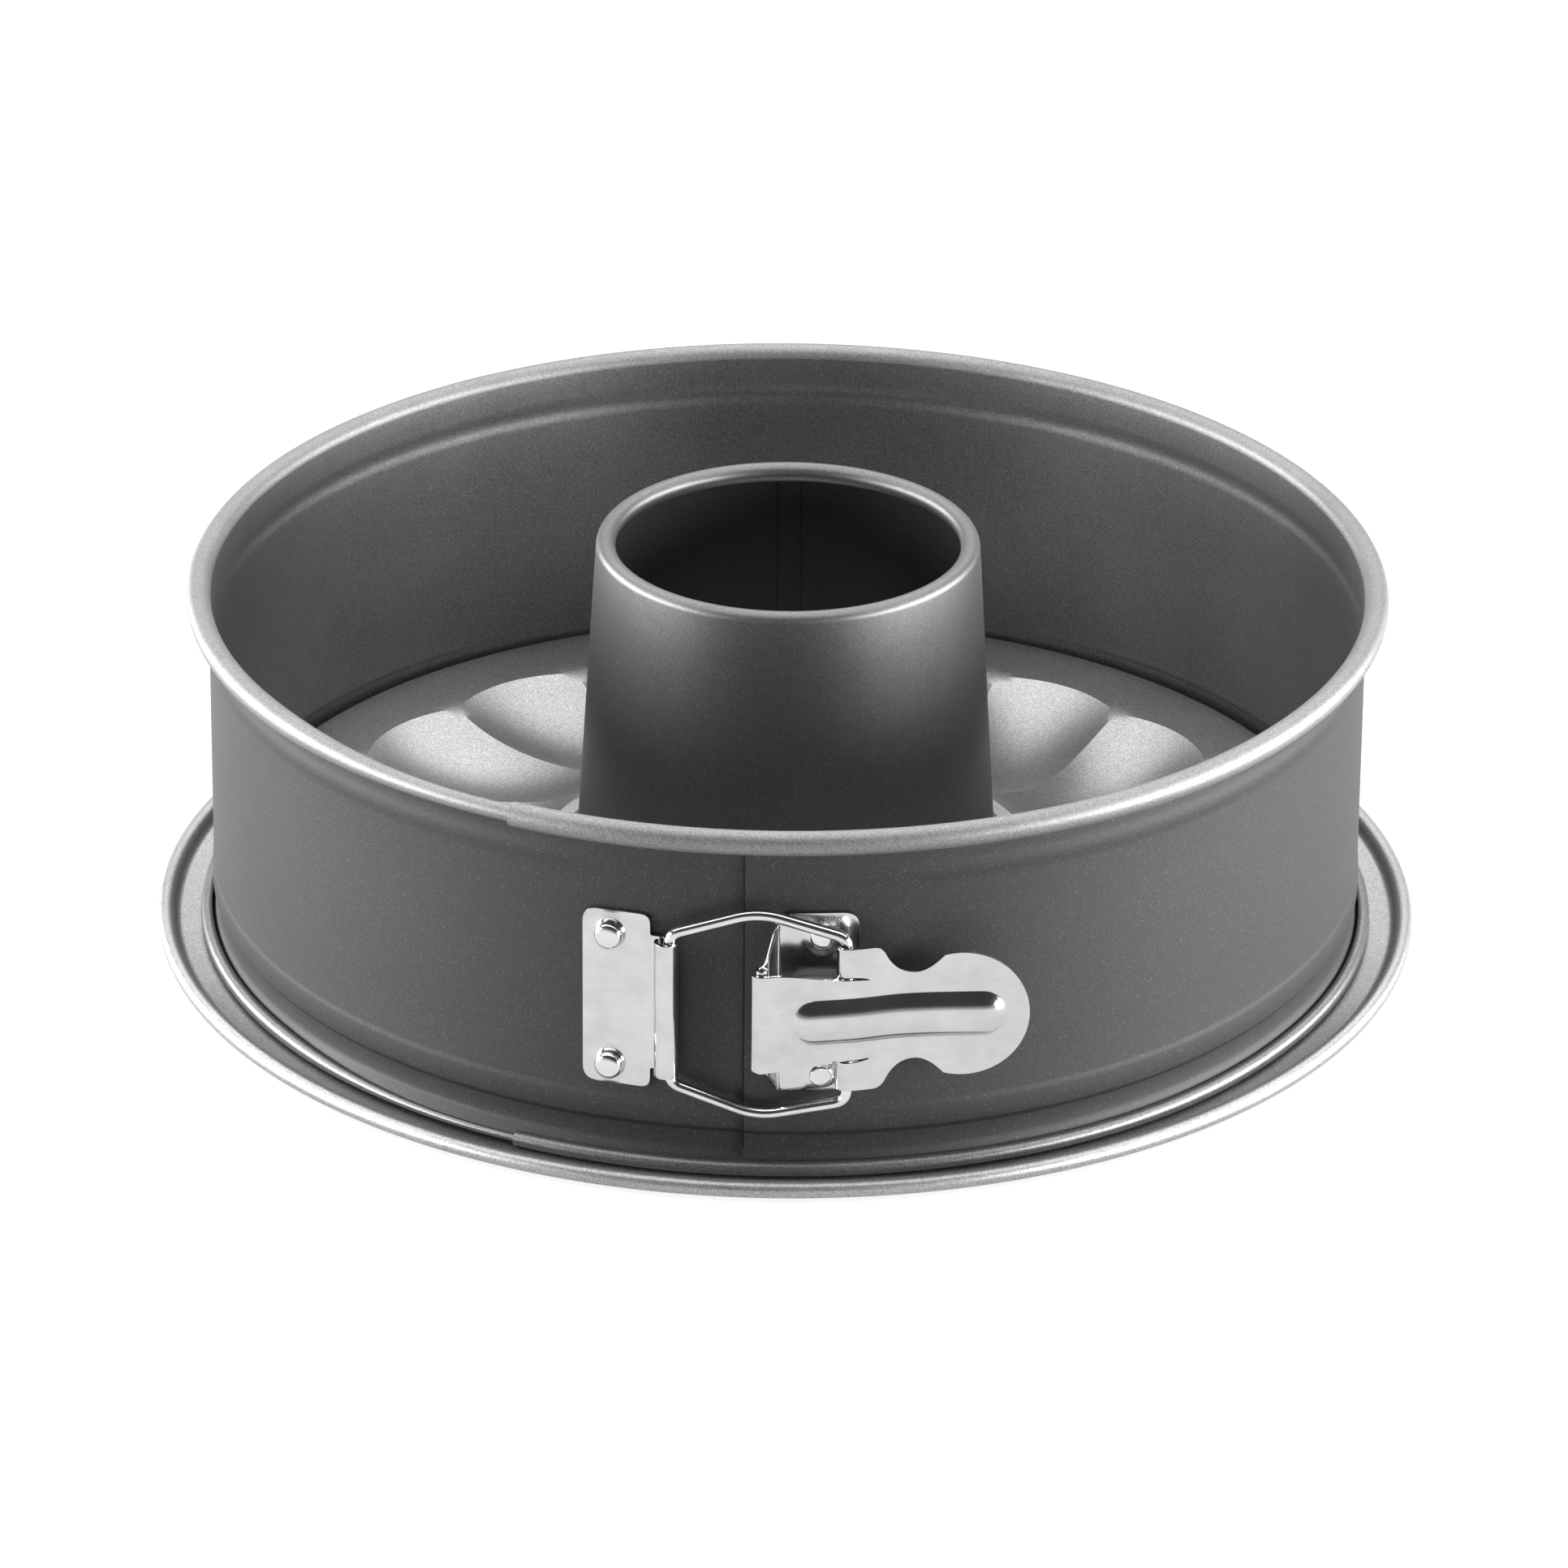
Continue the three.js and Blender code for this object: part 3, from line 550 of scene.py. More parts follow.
@dataclass
class Base:
    """Base plate with its twisted flutes, raised floor, channel and rolled rim."""

    sheet: float = 0.5
    hole_radius: float = 48.2
    land_height: float = 12.55
    flute_inner: float = 57.0
    flute_outer: float = 114.0
    cusp_inset: float = 4.0
    margin_height: float = 12.85
    ridge_depth: float = 6.4
    flute_depth: float = 10.4
    twist: float = 6.0
    flutes: int = 20
    floor_height: float = 13.55
    floor_radius: float = 128.6
    edge_round: float = 0.95
    foot_round: float = 1.2
    dish_round: float = 2.0
    roll_centre: Point = (141.5, 1.95)
    roll_radius: float = 1.65

    def profile(self) -> list[Point]:
        """Middle line of the sheet from the hole to the rolled rim, with the flutes still flat."""
        edge = (self.floor_radius - self.edge_round, self.floor_height - self.edge_round)
        foot = (self.floor_radius + self.foot_round, self.sheet / 2 + self.foot_round)
        dish = (self.roll_centre[0] - self.roll_radius - self.dish_round, self.sheet / 2 + self.dish_round)
        return [
            *[(r, self.land_height) for r in spread_over(self.hole_radius, self.flute_inner, 4)[:-1]],
            *[(r, self.land_height) for r in spread_over(self.flute_inner, self.flute_outer, 30)],
            *[(r, self.margin_height) for r in spread_over(self.flute_outer, edge[0], 5)[1:-1]],
            *arc(edge, self.edge_round, spread_over(90, 0, 5)),
            *[(self.floor_radius, z) for z in spread_over(edge[1], foot[1], 3)[1:-1]],
            *arc(foot, self.foot_round, spread_over(180, 270, 4)),
            *[(r, self.sheet / 2) for r in spread_over(foot[0], dish[0], 3)[1:-1]],
            *arc(dish, self.dish_round, spread_over(-90, -15, 6)),
            *arc(self.roll_centre, self.roll_radius, spread_over(165, -125, 24)),
        ]

    def flute(self, places: np.ndarray) -> np.ndarray:
        """Presses the flutes into the flat floor.

        Args:
            places: vertices of the spun plate.

        Returns:
            The vertices with the flutes and the sloped margin pressed in.
        """
        radius = np.hypot(places[:, 0], places[:, 1])
        angle = np.degrees(np.arctan2(places[:, 0], -places[:, 1]))
        pitch = 360.0 / self.flutes
        across = 2.0 * np.mod(angle / pitch + 0.5, 1.0) - 1.0
        bowl = 1.0 - across**2
        outer = self.flute_outer - self.cusp_inset * (1.0 - bowl)
        edge = self.floor_radius - self.edge_round
        s = np.clip((radius - self.flute_inner) / (self.flute_outer - self.flute_inner), 0.0, 1.0)
        m = np.clip((radius - self.flute_outer) / (edge - self.flute_outer), 0.0, 1.0)
        inside = (radius > self.flute_inner - 1e-3) & (radius < self.flute_outer + 1e-3)
        margin = (radius > self.flute_outer + 1e-3) & (radius < edge - 1e-3)
        depth = self.ridge_depth + (self.flute_depth - self.ridge_depth) * bowl
        pressed = np.where(inside, self.flute_inner + s * (outer - self.flute_inner), radius)
        pressed = np.where(margin, outer + m * (edge - outer), pressed)
        height = self.land_height + (self.margin_height - self.land_height) * s - depth * 4.0 * s * (1.0 - s)
        height = np.where(inside, height, places[:, 2])
        height = np.where(margin, self.margin_height + m * (self.floor_height - self.margin_height), height)
        lean = self.twist * (1.0 - smooth(pressed, self.flute_inner, self.flute_outer - self.cusp_inset))
        turned = np.radians(angle - np.where(radius < edge, lean, 0.0))
        return np.stack([pressed * np.sin(turned), -pressed * np.cos(turned), height], axis=1)

    def build(self) -> Obj:
        """Spins the plate, presses its flutes and gives it its thickness."""
        start = -180.0 / self.flutes
        obj = Bench.line("pan_base", [around(r, start, z) for r, z in self.profile()])
        Bench.spin(360.0, self.flutes * 16)
        Bench.weld(obj)
        Bench.move(obj, self.flute(Bench.places(obj)))
        Bench.thicken(obj, self.sheet)
        Bench.shade(obj, 28.0)
        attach(obj, Body.BASE.value)
        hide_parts("base_plate")
        return obj


@dataclass
class Tube:
    """Centre tube with its rolled top, folded foot and inside seam."""

    sheet: float = 0.6
    wall_foot: float = 47.6
    below: float = 11.7
    above: float = 13.4
    fold: float = 14.3
    flange: float = 52.2
    flare: float = 3.0
    foot_round: float = 1.6
    roll_centre: Point = (41.1, 90.85)
    roll_radius: float = 1.9
    seam_angle: float = 176.4
    seam_width: float = 5.2
    seam_sheet: float = 0.5

    def wall_radius(self, height: float) -> float:
        """Middle radius of the tapered wall at a height."""
        top = self.roll_centre[0] + self.roll_radius
        return lerp(self.wall_foot, top, (height - self.fold) / (self.roll_centre[1] - self.fold))

    def profile(self) -> list[Point]:
        """Middle line of the sheet from the flare below the floor to the rolled top."""
        bend = (self.fold - self.above) / 2
        foot = (self.wall_radius(self.fold + self.foot_round) + self.foot_round, self.fold + self.foot_round)
        return [
            (self.wall_foot + self.flare, self.below),
            (self.wall_foot + 0.4, self.below),
            (self.wall_foot, self.below + 0.4),
            (self.wall_foot, self.above - 0.4),
            (self.wall_foot + 0.4, self.above),
            *arc((self.flange - bend, self.above + bend), bend, spread_over(-90, 90, 6)),
            *arc(foot, self.foot_round, spread_over(270, 180, 5)),
            *[(self.wall_radius(z), z) for z in spread_over(foot[1], self.roll_centre[1], 8)[1:-1]],
            *arc(self.roll_centre, self.roll_radius, spread_over(0, 250, 20)),
        ]

    def seam(self) -> Obj:
        """Lap of the sheet on the inside of the tube."""
        off = self.sheet / 2 + self.seam_sheet / 2
        low, high = self.above - 1.0, self.roll_centre[1] - 2.5
        line = [(self.wall_radius(max(z, self.fold)) - off, z) for z in spread_over(low, high, 6)]
        obj = Bench.line("tube_seam", [around(r, self.seam_angle, z) for r, z in line])
        Bench.spin(math.degrees(self.seam_width / self.wall_radius(60.0)), 6)
        Bench.weld(obj)
        Bench.thicken(obj, self.seam_sheet)
        return obj

    def mark_bore_shade(self, obj: Obj) -> None:
        """Gives the faces of the bore, below the rolled top, a material slot of their own, which takes the bore's
        painted shade.
        """
        obj.data.materials.append(None)
        obj.data.materials.append(None)
        top = (self.roll_centre[1] - self.roll_radius) * MM
        for face in obj.data.polygons:
            inwards = face.normal.x * face.center.x + face.normal.y * face.center.y < 0.0
            face.material_index = int(inwards and face.center.z < top)

    def build(self) -> Obj:
        """Spins the tube and joins its seam to it."""
        obj = Bench.line("pan_tube", [around(r, 0.0, z) for r, z in self.profile()])
        Bench.spin(360.0, 160)
        Bench.weld(obj)
        Bench.thicken(obj, self.sheet)
        Bench.join(obj, self.seam())
        self.mark_bore_shade(obj)
        Bench.shade(obj, 40.0)
        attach(obj, Body.BASE.value)
        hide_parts("center_tube")
        return obj


@dataclass
class Ring:
    """Springy ring: one strip whose right end reaches over its left end at the front."""

    sheet: float = 0.45
    wall: float = 130.225
    neck: float = 129.375
    neck_top: float = 9.4
    band: float = 130.475
    band_bottom: float = 11.2
    band_top: float = 15.4
    band_fade: float = 1.8
    swage_top: float = 75.22
    swage_span: float = 6.4
    swage_bulge: float = 0.32
    curl_start: float = 77.32
    foot: Point = (131.9, 2.33)
    foot_radius: float = 1.5
    rim: Point = (132.7, 81.1)
    rim_radius: float = 2.475
    offset: float = 0.85
    spread: Point = (28.0, 62.0)
    nest: Point = (-60.0, -31.0)
    wall_edge: float = -3.9
    guide_end: float = -26.0
    roll_end: float = -2.6
    tail_end: float = 1.0
    # Width in degrees of the strip at the right end's edge that takes the painted shadow of the lap's gap.
    lap_shadow_width: float = 0.16
    degrees_per_step: float = 0.9

    def profile(self) -> list[Point]:
        """Middle line of the strip from the foot bead up to the rim's curl."""
        low, high = self.swage_top - self.swage_span, self.swage_top
        swage = [
            (self.wall + self.swage_bulge * 0.5 * (1 - math.cos(2 * math.pi * t)), lerp(low, high, t))
            for t in spread_over(0, 1, 12)
        ]
        neck_low = lerp(self.foot[1], self.neck_top, 0.5)
        bead = arc(self.foot, self.foot_radius, spread_over(120, -180, 26))
        return [
            *bead,
            *soft_line(bead[-1], (self.neck, neck_low), 5)[1:],
            *soft_line((self.neck, self.neck_top), (self.band, self.band_bottom), 5),
            *soft_line((self.band, self.band_top), (self.wall, self.band_top + self.band_fade), 5),
            *[(self.wall, z) for z in spread_over(self.band_top + self.band_fade, low, 5)[1:-1]],
            *swage,
            (self.wall, self.curl_start),
            *arc(self.rim, self.rim_radius, spread_over(180, -120, 26)),
        ]

    def steps(self, turn: float) -> int:
        """Number of steps for a turn."""
        return max(2, round(abs(turn) / self.degrees_per_step))

    def in_rolls(self, place: Vector) -> bool:
        """Whether a place at the strip's end belongs to the rolls that run on as guides."""
        radius = math.hypot(place.x, place.y) / MM
        height = place.z / MM
        over_rim = height > self.rim[1] + 0.48 * self.rim_radius or radius > self.wall + 0.35 * self.rim_radius
        under_foot = height < self.foot[1] - 0.48 * self.foot_radius or radius > self.foot[0] - 0.6 * self.foot_radius
        return (height > self.curl_start + 0.5 and over_rim) or (height < self.neck_top - 2.0 and under_foot)

    def in_wall(self, place: Vector) -> bool:
        """Whether a place at the strip's end belongs to the bare tongue."""
        return self.band_bottom - 0.05 < place.z / MM < self.curl_start - 0.5

    def half(self, side: Side) -> Obj:
        """One half of the strip, from the middle of the back to its end at the front.

        Args:
            side: the half to build.

        Returns:
            The half as a thin surface.
        """
        name = "ring_right_half" if side is Side.RIGHT else "ring_left_half"
        last = self.wall_edge if side is Side.RIGHT else self.roll_end
        further = self.guide_end if side is Side.RIGHT else self.tail_end
        turn = (last - 180.0) if side is Side.RIGHT else (last + 180.0)
        obj = Bench.line(name, [around(r, 180.0, z) for r, z in self.profile()])
        Bench.spin(turn, self.steps(turn))
        kept = self.in_rolls if side is Side.RIGHT else self.in_wall

        def at_end(place: Vector) -> bool:
            angle = math.degrees(math.atan2(place.x, -place.y))
            return abs(angle - last) < 0.05 and kept(place)

        Bench.select(obj, at_end)
        Bench.spin(further - last, self.steps(further - last))
        Bench.weld(obj)
        return obj

    def lap(self, obj: Obj, side: Side) -> None:
        """Spreads the right end outwards, or draws the left end's rolls small enough to run inside it."""
        places = Bench.places(obj)
        radius = np.hypot(places[:, 0], places[:, 1])
        angle = np.degrees(np.arctan2(places[:, 0], -places[:, 1]))
        height = places[:, 2].copy()
        if side is Side.RIGHT:
            angle = np.where(angle < -90.0, angle + 360.0, angle)
            turn = 180.0 - self.wall_edge
            last = np.abs(angle - self.wall_edge - turn / self.steps(turn)) < 0.1
            # Moves the last column out to make the narrow strip that takes the painted shadow of the lap's gap.
            angle = np.where(last, self.wall_edge + self.lap_shadow_width, angle)
            radius = radius + self.offset * (1.0 - smooth(angle, *self.spread))
        else:
            angle = np.where(angle > 90.0, angle - 360.0, angle)
            shrink = self.offset * smooth(angle, *self.nest)
            for centre, size, mine in (
                (self.foot, self.foot_radius, height < self.foot[1] + self.foot_radius + 0.01),
                (self.rim, self.rim_radius, height > self.curl_start + 0.5),
            ):
                share = (size - shrink) / size
                radius = np.where(mine, centre[0] + shrink + (radius - centre[0]) * share, radius)
                height = np.where(mine, centre[1] + (height - centre[1]) * share, height)
        turned = np.radians(angle)
        Bench.move(obj, np.stack([radius * np.sin(turned), -radius * np.cos(turned), height], axis=1))

    def mark(self, obj: Obj, side: Side) -> None:
        """Marks the guides' cut ends, the rolled rim that takes a lighter coat with painted sheen, and a thin strip at
        the lap's edge that takes a painted shadow.

        Args:
            obj: one half of the strip.
            side: which half it is.
        """
        for face in obj.data.polygons:
            angle = math.degrees(math.atan2(face.center.x, -face.center.y))
            radius, height = math.hypot(face.center.x, face.center.y) / MM, face.center.z / MM
            outwards = face.normal.x * face.center.x + face.normal.y * face.center.y > 0.0
            if abs(angle - self.guide_end) < 0.02:
                face.material_index = 2
            # Painted sheen: the rolled rim takes a lighter copy of the inner coat, which paints the rim's pale lit
            # band; its higher roughness is a finish.
            elif height > self.rim[1] - 0.6 or (height > self.curl_start + 0.7 and radius > self.wall + 1.4):
                face.material_index = 3
            elif not outwards or side is Side.LEFT or height < self.neck_top - 3.0:
                continue
            # Painted shadow: a near-black strip on the outer end stands in for the shadow in the gap under the lap's
            # edge.
            elif -0.02 < angle - self.wall_edge < self.lap_shadow_width:
                face.material_index = 4

    def build(self) -> list[Obj]:
        """Both halves of the strip, each lapped, thickened, marked and shaded."""
        halves = []
        for side, arm, nodes in (
            (Side.RIGHT, Body.RIGHT, ("ring_right_arm", "ring_back")),
            (Side.LEFT, Body.LEFT, ("ring_left_arm",)),
        ):
            obj = self.half(side)
            self.lap(obj, side)
            Bench.thicken(obj, self.sheet, two_faced=True)
            self.mark(obj, side)
            Bench.shade(obj, 40.0)
            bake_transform(obj)
            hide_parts(*nodes)
            halves.append(obj)
        return halves


@dataclass
class Rivet:
    """Rivet through the ring's wall and a bracket's plate."""

    name: str
    stand: Stand
    x: float
    z: float
    wall_inside: float
    plate_front: float
    radius: float
    height: float
    domed: bool
    shank: float = 1.4
    tail_radius: float = 2.2
    tail_height: float = 0.7
    gap: float = 0.3

    def profile(self) -> list[Point]:
        """Half section from the tail inside the ring to the middle of the head."""
        inside = self.wall_inside - self.gap
        front = self.plate_front + self.gap
        r, h = self.radius, self.height
        if self.domed:
            head = [
                (r, front - 0.3), (r, front + 0.08 * h), (0.97 * r, front + 0.22 * h), (0.93 * r, front + 0.42 * h),
                (0.89 * r, front + 0.6 * h), (0.84 * r, front + 0.74 * h), (0.76 * r, front + 0.85 * h),
                (0.63 * r, front + 0.92 * h), (0.42 * r, front + 0.97 * h), (0.2 * r, front + 0.99 * h), (0.0, front + h),
            ]
        else:
            head = [
                (r, front - 0.3), (r, front + 0.35 * h), (0.97 * r, front + 0.62 * h), (0.9 * r, front + 0.84 * h),
                (0.78 * r, front + 0.95 * h), (0.55 * r, front + 0.98 * h), (0.3 * r, front + 0.96 * h), (0.0, front + 0.95 * h),
            ]
        tail = self.tail_radius
        return [
            (0.0, inside - self.tail_height),
            (0.6 * tail, inside - self.tail_height),
            (0.9 * tail, inside - 0.75 * self.tail_height),
            (tail, inside - 0.4 * self.tail_height),
            (tail, inside + 0.3),
            (self.shank, inside + 0.3),
            (self.shank, front - 0.3),
            *head,
        ]

    def build(self, body: Body) -> Obj:
        """Spins the section round the rivet's own axis."""
        line = [self.stand.point(self.x, -h, self.z + r) for r, h in self.profile()]
        obj = Bench.line(self.name + "_head", line)
        centre = self.stand.point(self.x, 0.0, self.z)
        bpy.ops.mesh.spin(steps=40, angle=2 * math.pi, center=centre, axis=self.stand.outward())
        Bench.weld(obj)
        Bench.face_out(obj)
        Bench.shade(obj, 40.0)
        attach(obj, body.value)
        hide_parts(self.name)
        return obj


def rounded(corners: Sequence[tuple[float, float, float]], count: int = 6) -> list[Point]:
    """Closed outline through (x, z, reach) corners, each rounded over its reach."""
    outline: list[Point] = []
    size = len(corners)
    for i, (x, z, reach) in enumerate(corners):
        if reach <= 0.0:
            outline.append((x, z))
            continue
        ends = []
        for other in (corners[i - 1], corners[(i + 1) % size]):
            way = Vector((other[0] - x, other[1] - z))
            way.normalize()
            ends.append((x + way.x * reach, z + way.y * reach))
        outline += bezier(ends[0], (x, z), ends[1], count)
    return outline


def fine(low: float, high: float, step: float) -> list[float]:
    """Evenly spaced values strictly between two ends, at most a step apart."""
    count = max(1, math.ceil((high - low) / step))
    return spread_over(low, high, count)[1:-1]


@dataclass
class CatchBracket:
    """Left plate with the rolled knuckle that holds the bail."""

    stand: Stand = Stand(-16.0, 40.5)
    sheet: float = 0.7
    width: float = 15.2
    height: float = 41.6
    corner: float = 3.4
    line: float = -131.1
    knuckle: Point = (11.8, -133.4)
    knuckle_radius: float = 2.3
    knuckle_length: float = 32.0
    roll_turn: float = 290.0
    rivet_x: float = -1.2
    rivet_z: float = 15.6
    boss_radius: float = 5.4
    boss_height: float = 0.5

    def path(self) -> Path:
        """Plan line from the plate's left edge to the end of the knuckle's roll."""
        roll = arc(self.knuckle, self.knuckle_radius, spread_over(90, 90 - self.roll_turn, 60))
        return Path(((-self.width / 2, self.line), *roll))

    def build(self) -> Obj:
        """Cuts the flat plate, presses its bosses, rolls its knuckle and bends it into place."""
        path = self.path()
        end = float(path.lengths()[-1])
        half, tall, strip = self.height / 2, self.width, self.knuckle_length / 2
        c = self.corner
        outline = rounded([
            (0.0, -half, c), (tall, -half, 0.7 * c), (tall, -strip, 0.5), (end, -strip, 0.0),
            (end, strip, 0.0), (tall, strip, 0.5), (tall, half, 0.7 * c), (0.0, half, c),
        ])
        roll_start = self.knuckle[0] + self.width / 2
        cuts = fine(0.0, roll_start, 0.7) + fine(roll_start - 0.3, end, 0.4)
        obj = Bench.flat("catch_plate", outline, cuts, fine(-half, half, 0.8))
        flat = Bench.places(obj)
        off = np.zeros(len(flat))
        for sign in (-1, 1):
            gap = np.hypot(flat[:, 0] - self.width / 2 - self.rivet_x, flat[:, 2] - sign * self.rivet_z)
            off -= self.boss_height * (1.0 - smooth(gap, 2.6, self.boss_radius))
        x, y = path.bend(flat[:, 0], off)
        Bench.move(obj, self.stand.set(x, y, flat[:, 2]))
        Bench.thicken(obj, self.sheet)
        Bench.soften(obj, 0.16)
        Bench.shade(obj, 40.0)
        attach(obj, Body.LEFT.value)
        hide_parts("catch_bracket")
        return obj

    def rivets(self) -> list[Obj]:
        """The two domed rivets."""
        front = -self.line + self.sheet / 2
        return [
            Rivet(
                name, self.stand, self.rivet_x, sign * self.rivet_z, 130.0, front, 3.5, 3.2, True
            ).build(Body.LEFT)
            for name, sign in (("catch_rivet_lower", -1), ("catch_rivet_upper", 1))
        ]


@dataclass
class MountBracket:
    """Right plate with the raised flange whose curled edge is the lever's hinge."""

    stand: Stand = Stand(3.45, 41.6)
    sheet: float = 0.7
    width: float = 16.0
    height: float = 42.4
    raise_by: float = 1.1
    corner: float = 3.4
    line: float = -131.95
    hinge: Point = (-13.3, -138.85)
    bead_radius: float = 0.95
    shoulder: Point = (-12.0, -137.2)
    bend_reach: float = 1.6
    root_height: float = 40.0
    tip_height: float = 24.4
    rivet_z: float = 16.6
    boss_radius: float = 4.6
    boss_height: float = 0.45

    def path(self) -> Path:
        """Plan line from the plate's right edge over the bend to the curled hinge edge."""
        knee, shoulder = Vector((-self.width / 2 - 1.5, self.line)), Vector(self.shoulder)
        out = (shoulder - knee).normalized()
        gap = Vector(self.hinge) - shoulder
        lean = math.atan2(gap.y, gap.x) - math.asin(self.bead_radius / gap.length)
        over = Vector((math.cos(lean), math.sin(lean)))
        turn = math.degrees(lean)
        curl = arc(self.hinge, self.bead_radius, spread_over(turn - 90, turn + 215, 40))
        bend = bezier((knee.x + self.bend_reach, self.line), tuple(knee), tuple(knee + out * self.bend_reach), 8)
        fold = bezier(tuple(shoulder - out * 0.7), tuple(shoulder), tuple(shoulder + over * 0.7), 6)
        return Path(((self.width / 2, self.line), *bend, *fold, *curl))

    def build(self) -> Obj:
        """Cuts the flat plate, presses its bosses and bends its flange up to the hinge."""
        path = self.path()
        end = float(path.lengths()[-1])
        knee = self.width + 1.0
        tip_start = end - math.radians(305) * self.bead_radius - 0.3
        low, high = self.raise_by - self.height / 2, self.raise_by + self.height / 2
        root, tip, c = self.root_height / 2, self.tip_height / 2, self.corner
        outline = rounded([
            (0.0, low, c), (knee - 1.8, low, 0.8), (knee + 0.6, -root, 0.8), (tip_start, -tip, 2.0), (end, -tip, 0.0),
            (end, tip, 0.0), (tip_start, tip, 2.0), (knee + 0.6, root, 0.8), (knee - 1.8, high, 0.8), (0.0, high, c),
        ])
        cuts = fine(0.0, knee - 2.0, 0.8) + fine(knee - 2.2, knee + 2.4, 0.35)
        cuts += fine(knee + 2.4, tip_start, 0.8) + fine(tip_start - 0.2, end, 0.22)
        obj = Bench.flat("mount_plate", outline, cuts, fine(low, high, 0.9))
        flat = Bench.places(obj)
        off = np.zeros(len(flat))
        for sign in (-1, 1):
            gap = np.hypot(flat[:, 0] - self.width / 2, flat[:, 2] - sign * self.rivet_z)
            off += self.boss_height * (1.0 - smooth(gap, 2.4, self.boss_radius))
        x, y = path.bend(flat[:, 0], off)
        Bench.move(obj, self.stand.set(x, y, flat[:, 2]))
        Bench.thicken(obj, self.sheet)
        Bench.soften(obj, 0.16)
        Bench.shade(obj, 40.0)
        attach(obj, Body.RIGHT.value)
        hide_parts("mount_bracket")
        return obj

    def rivets(self) -> list[Obj]:
        """The two flat rivets."""
        front = -self.line + self.sheet / 2
        return [
            Rivet(name, self.stand, 0.0, sign * self.rivet_z, 130.85, front, 2.6, 0.9, False).build(Body.RIGHT)
            for name, sign in (("mount_rivet_lower", -1), ("mount_rivet_upper", 1))
        ]


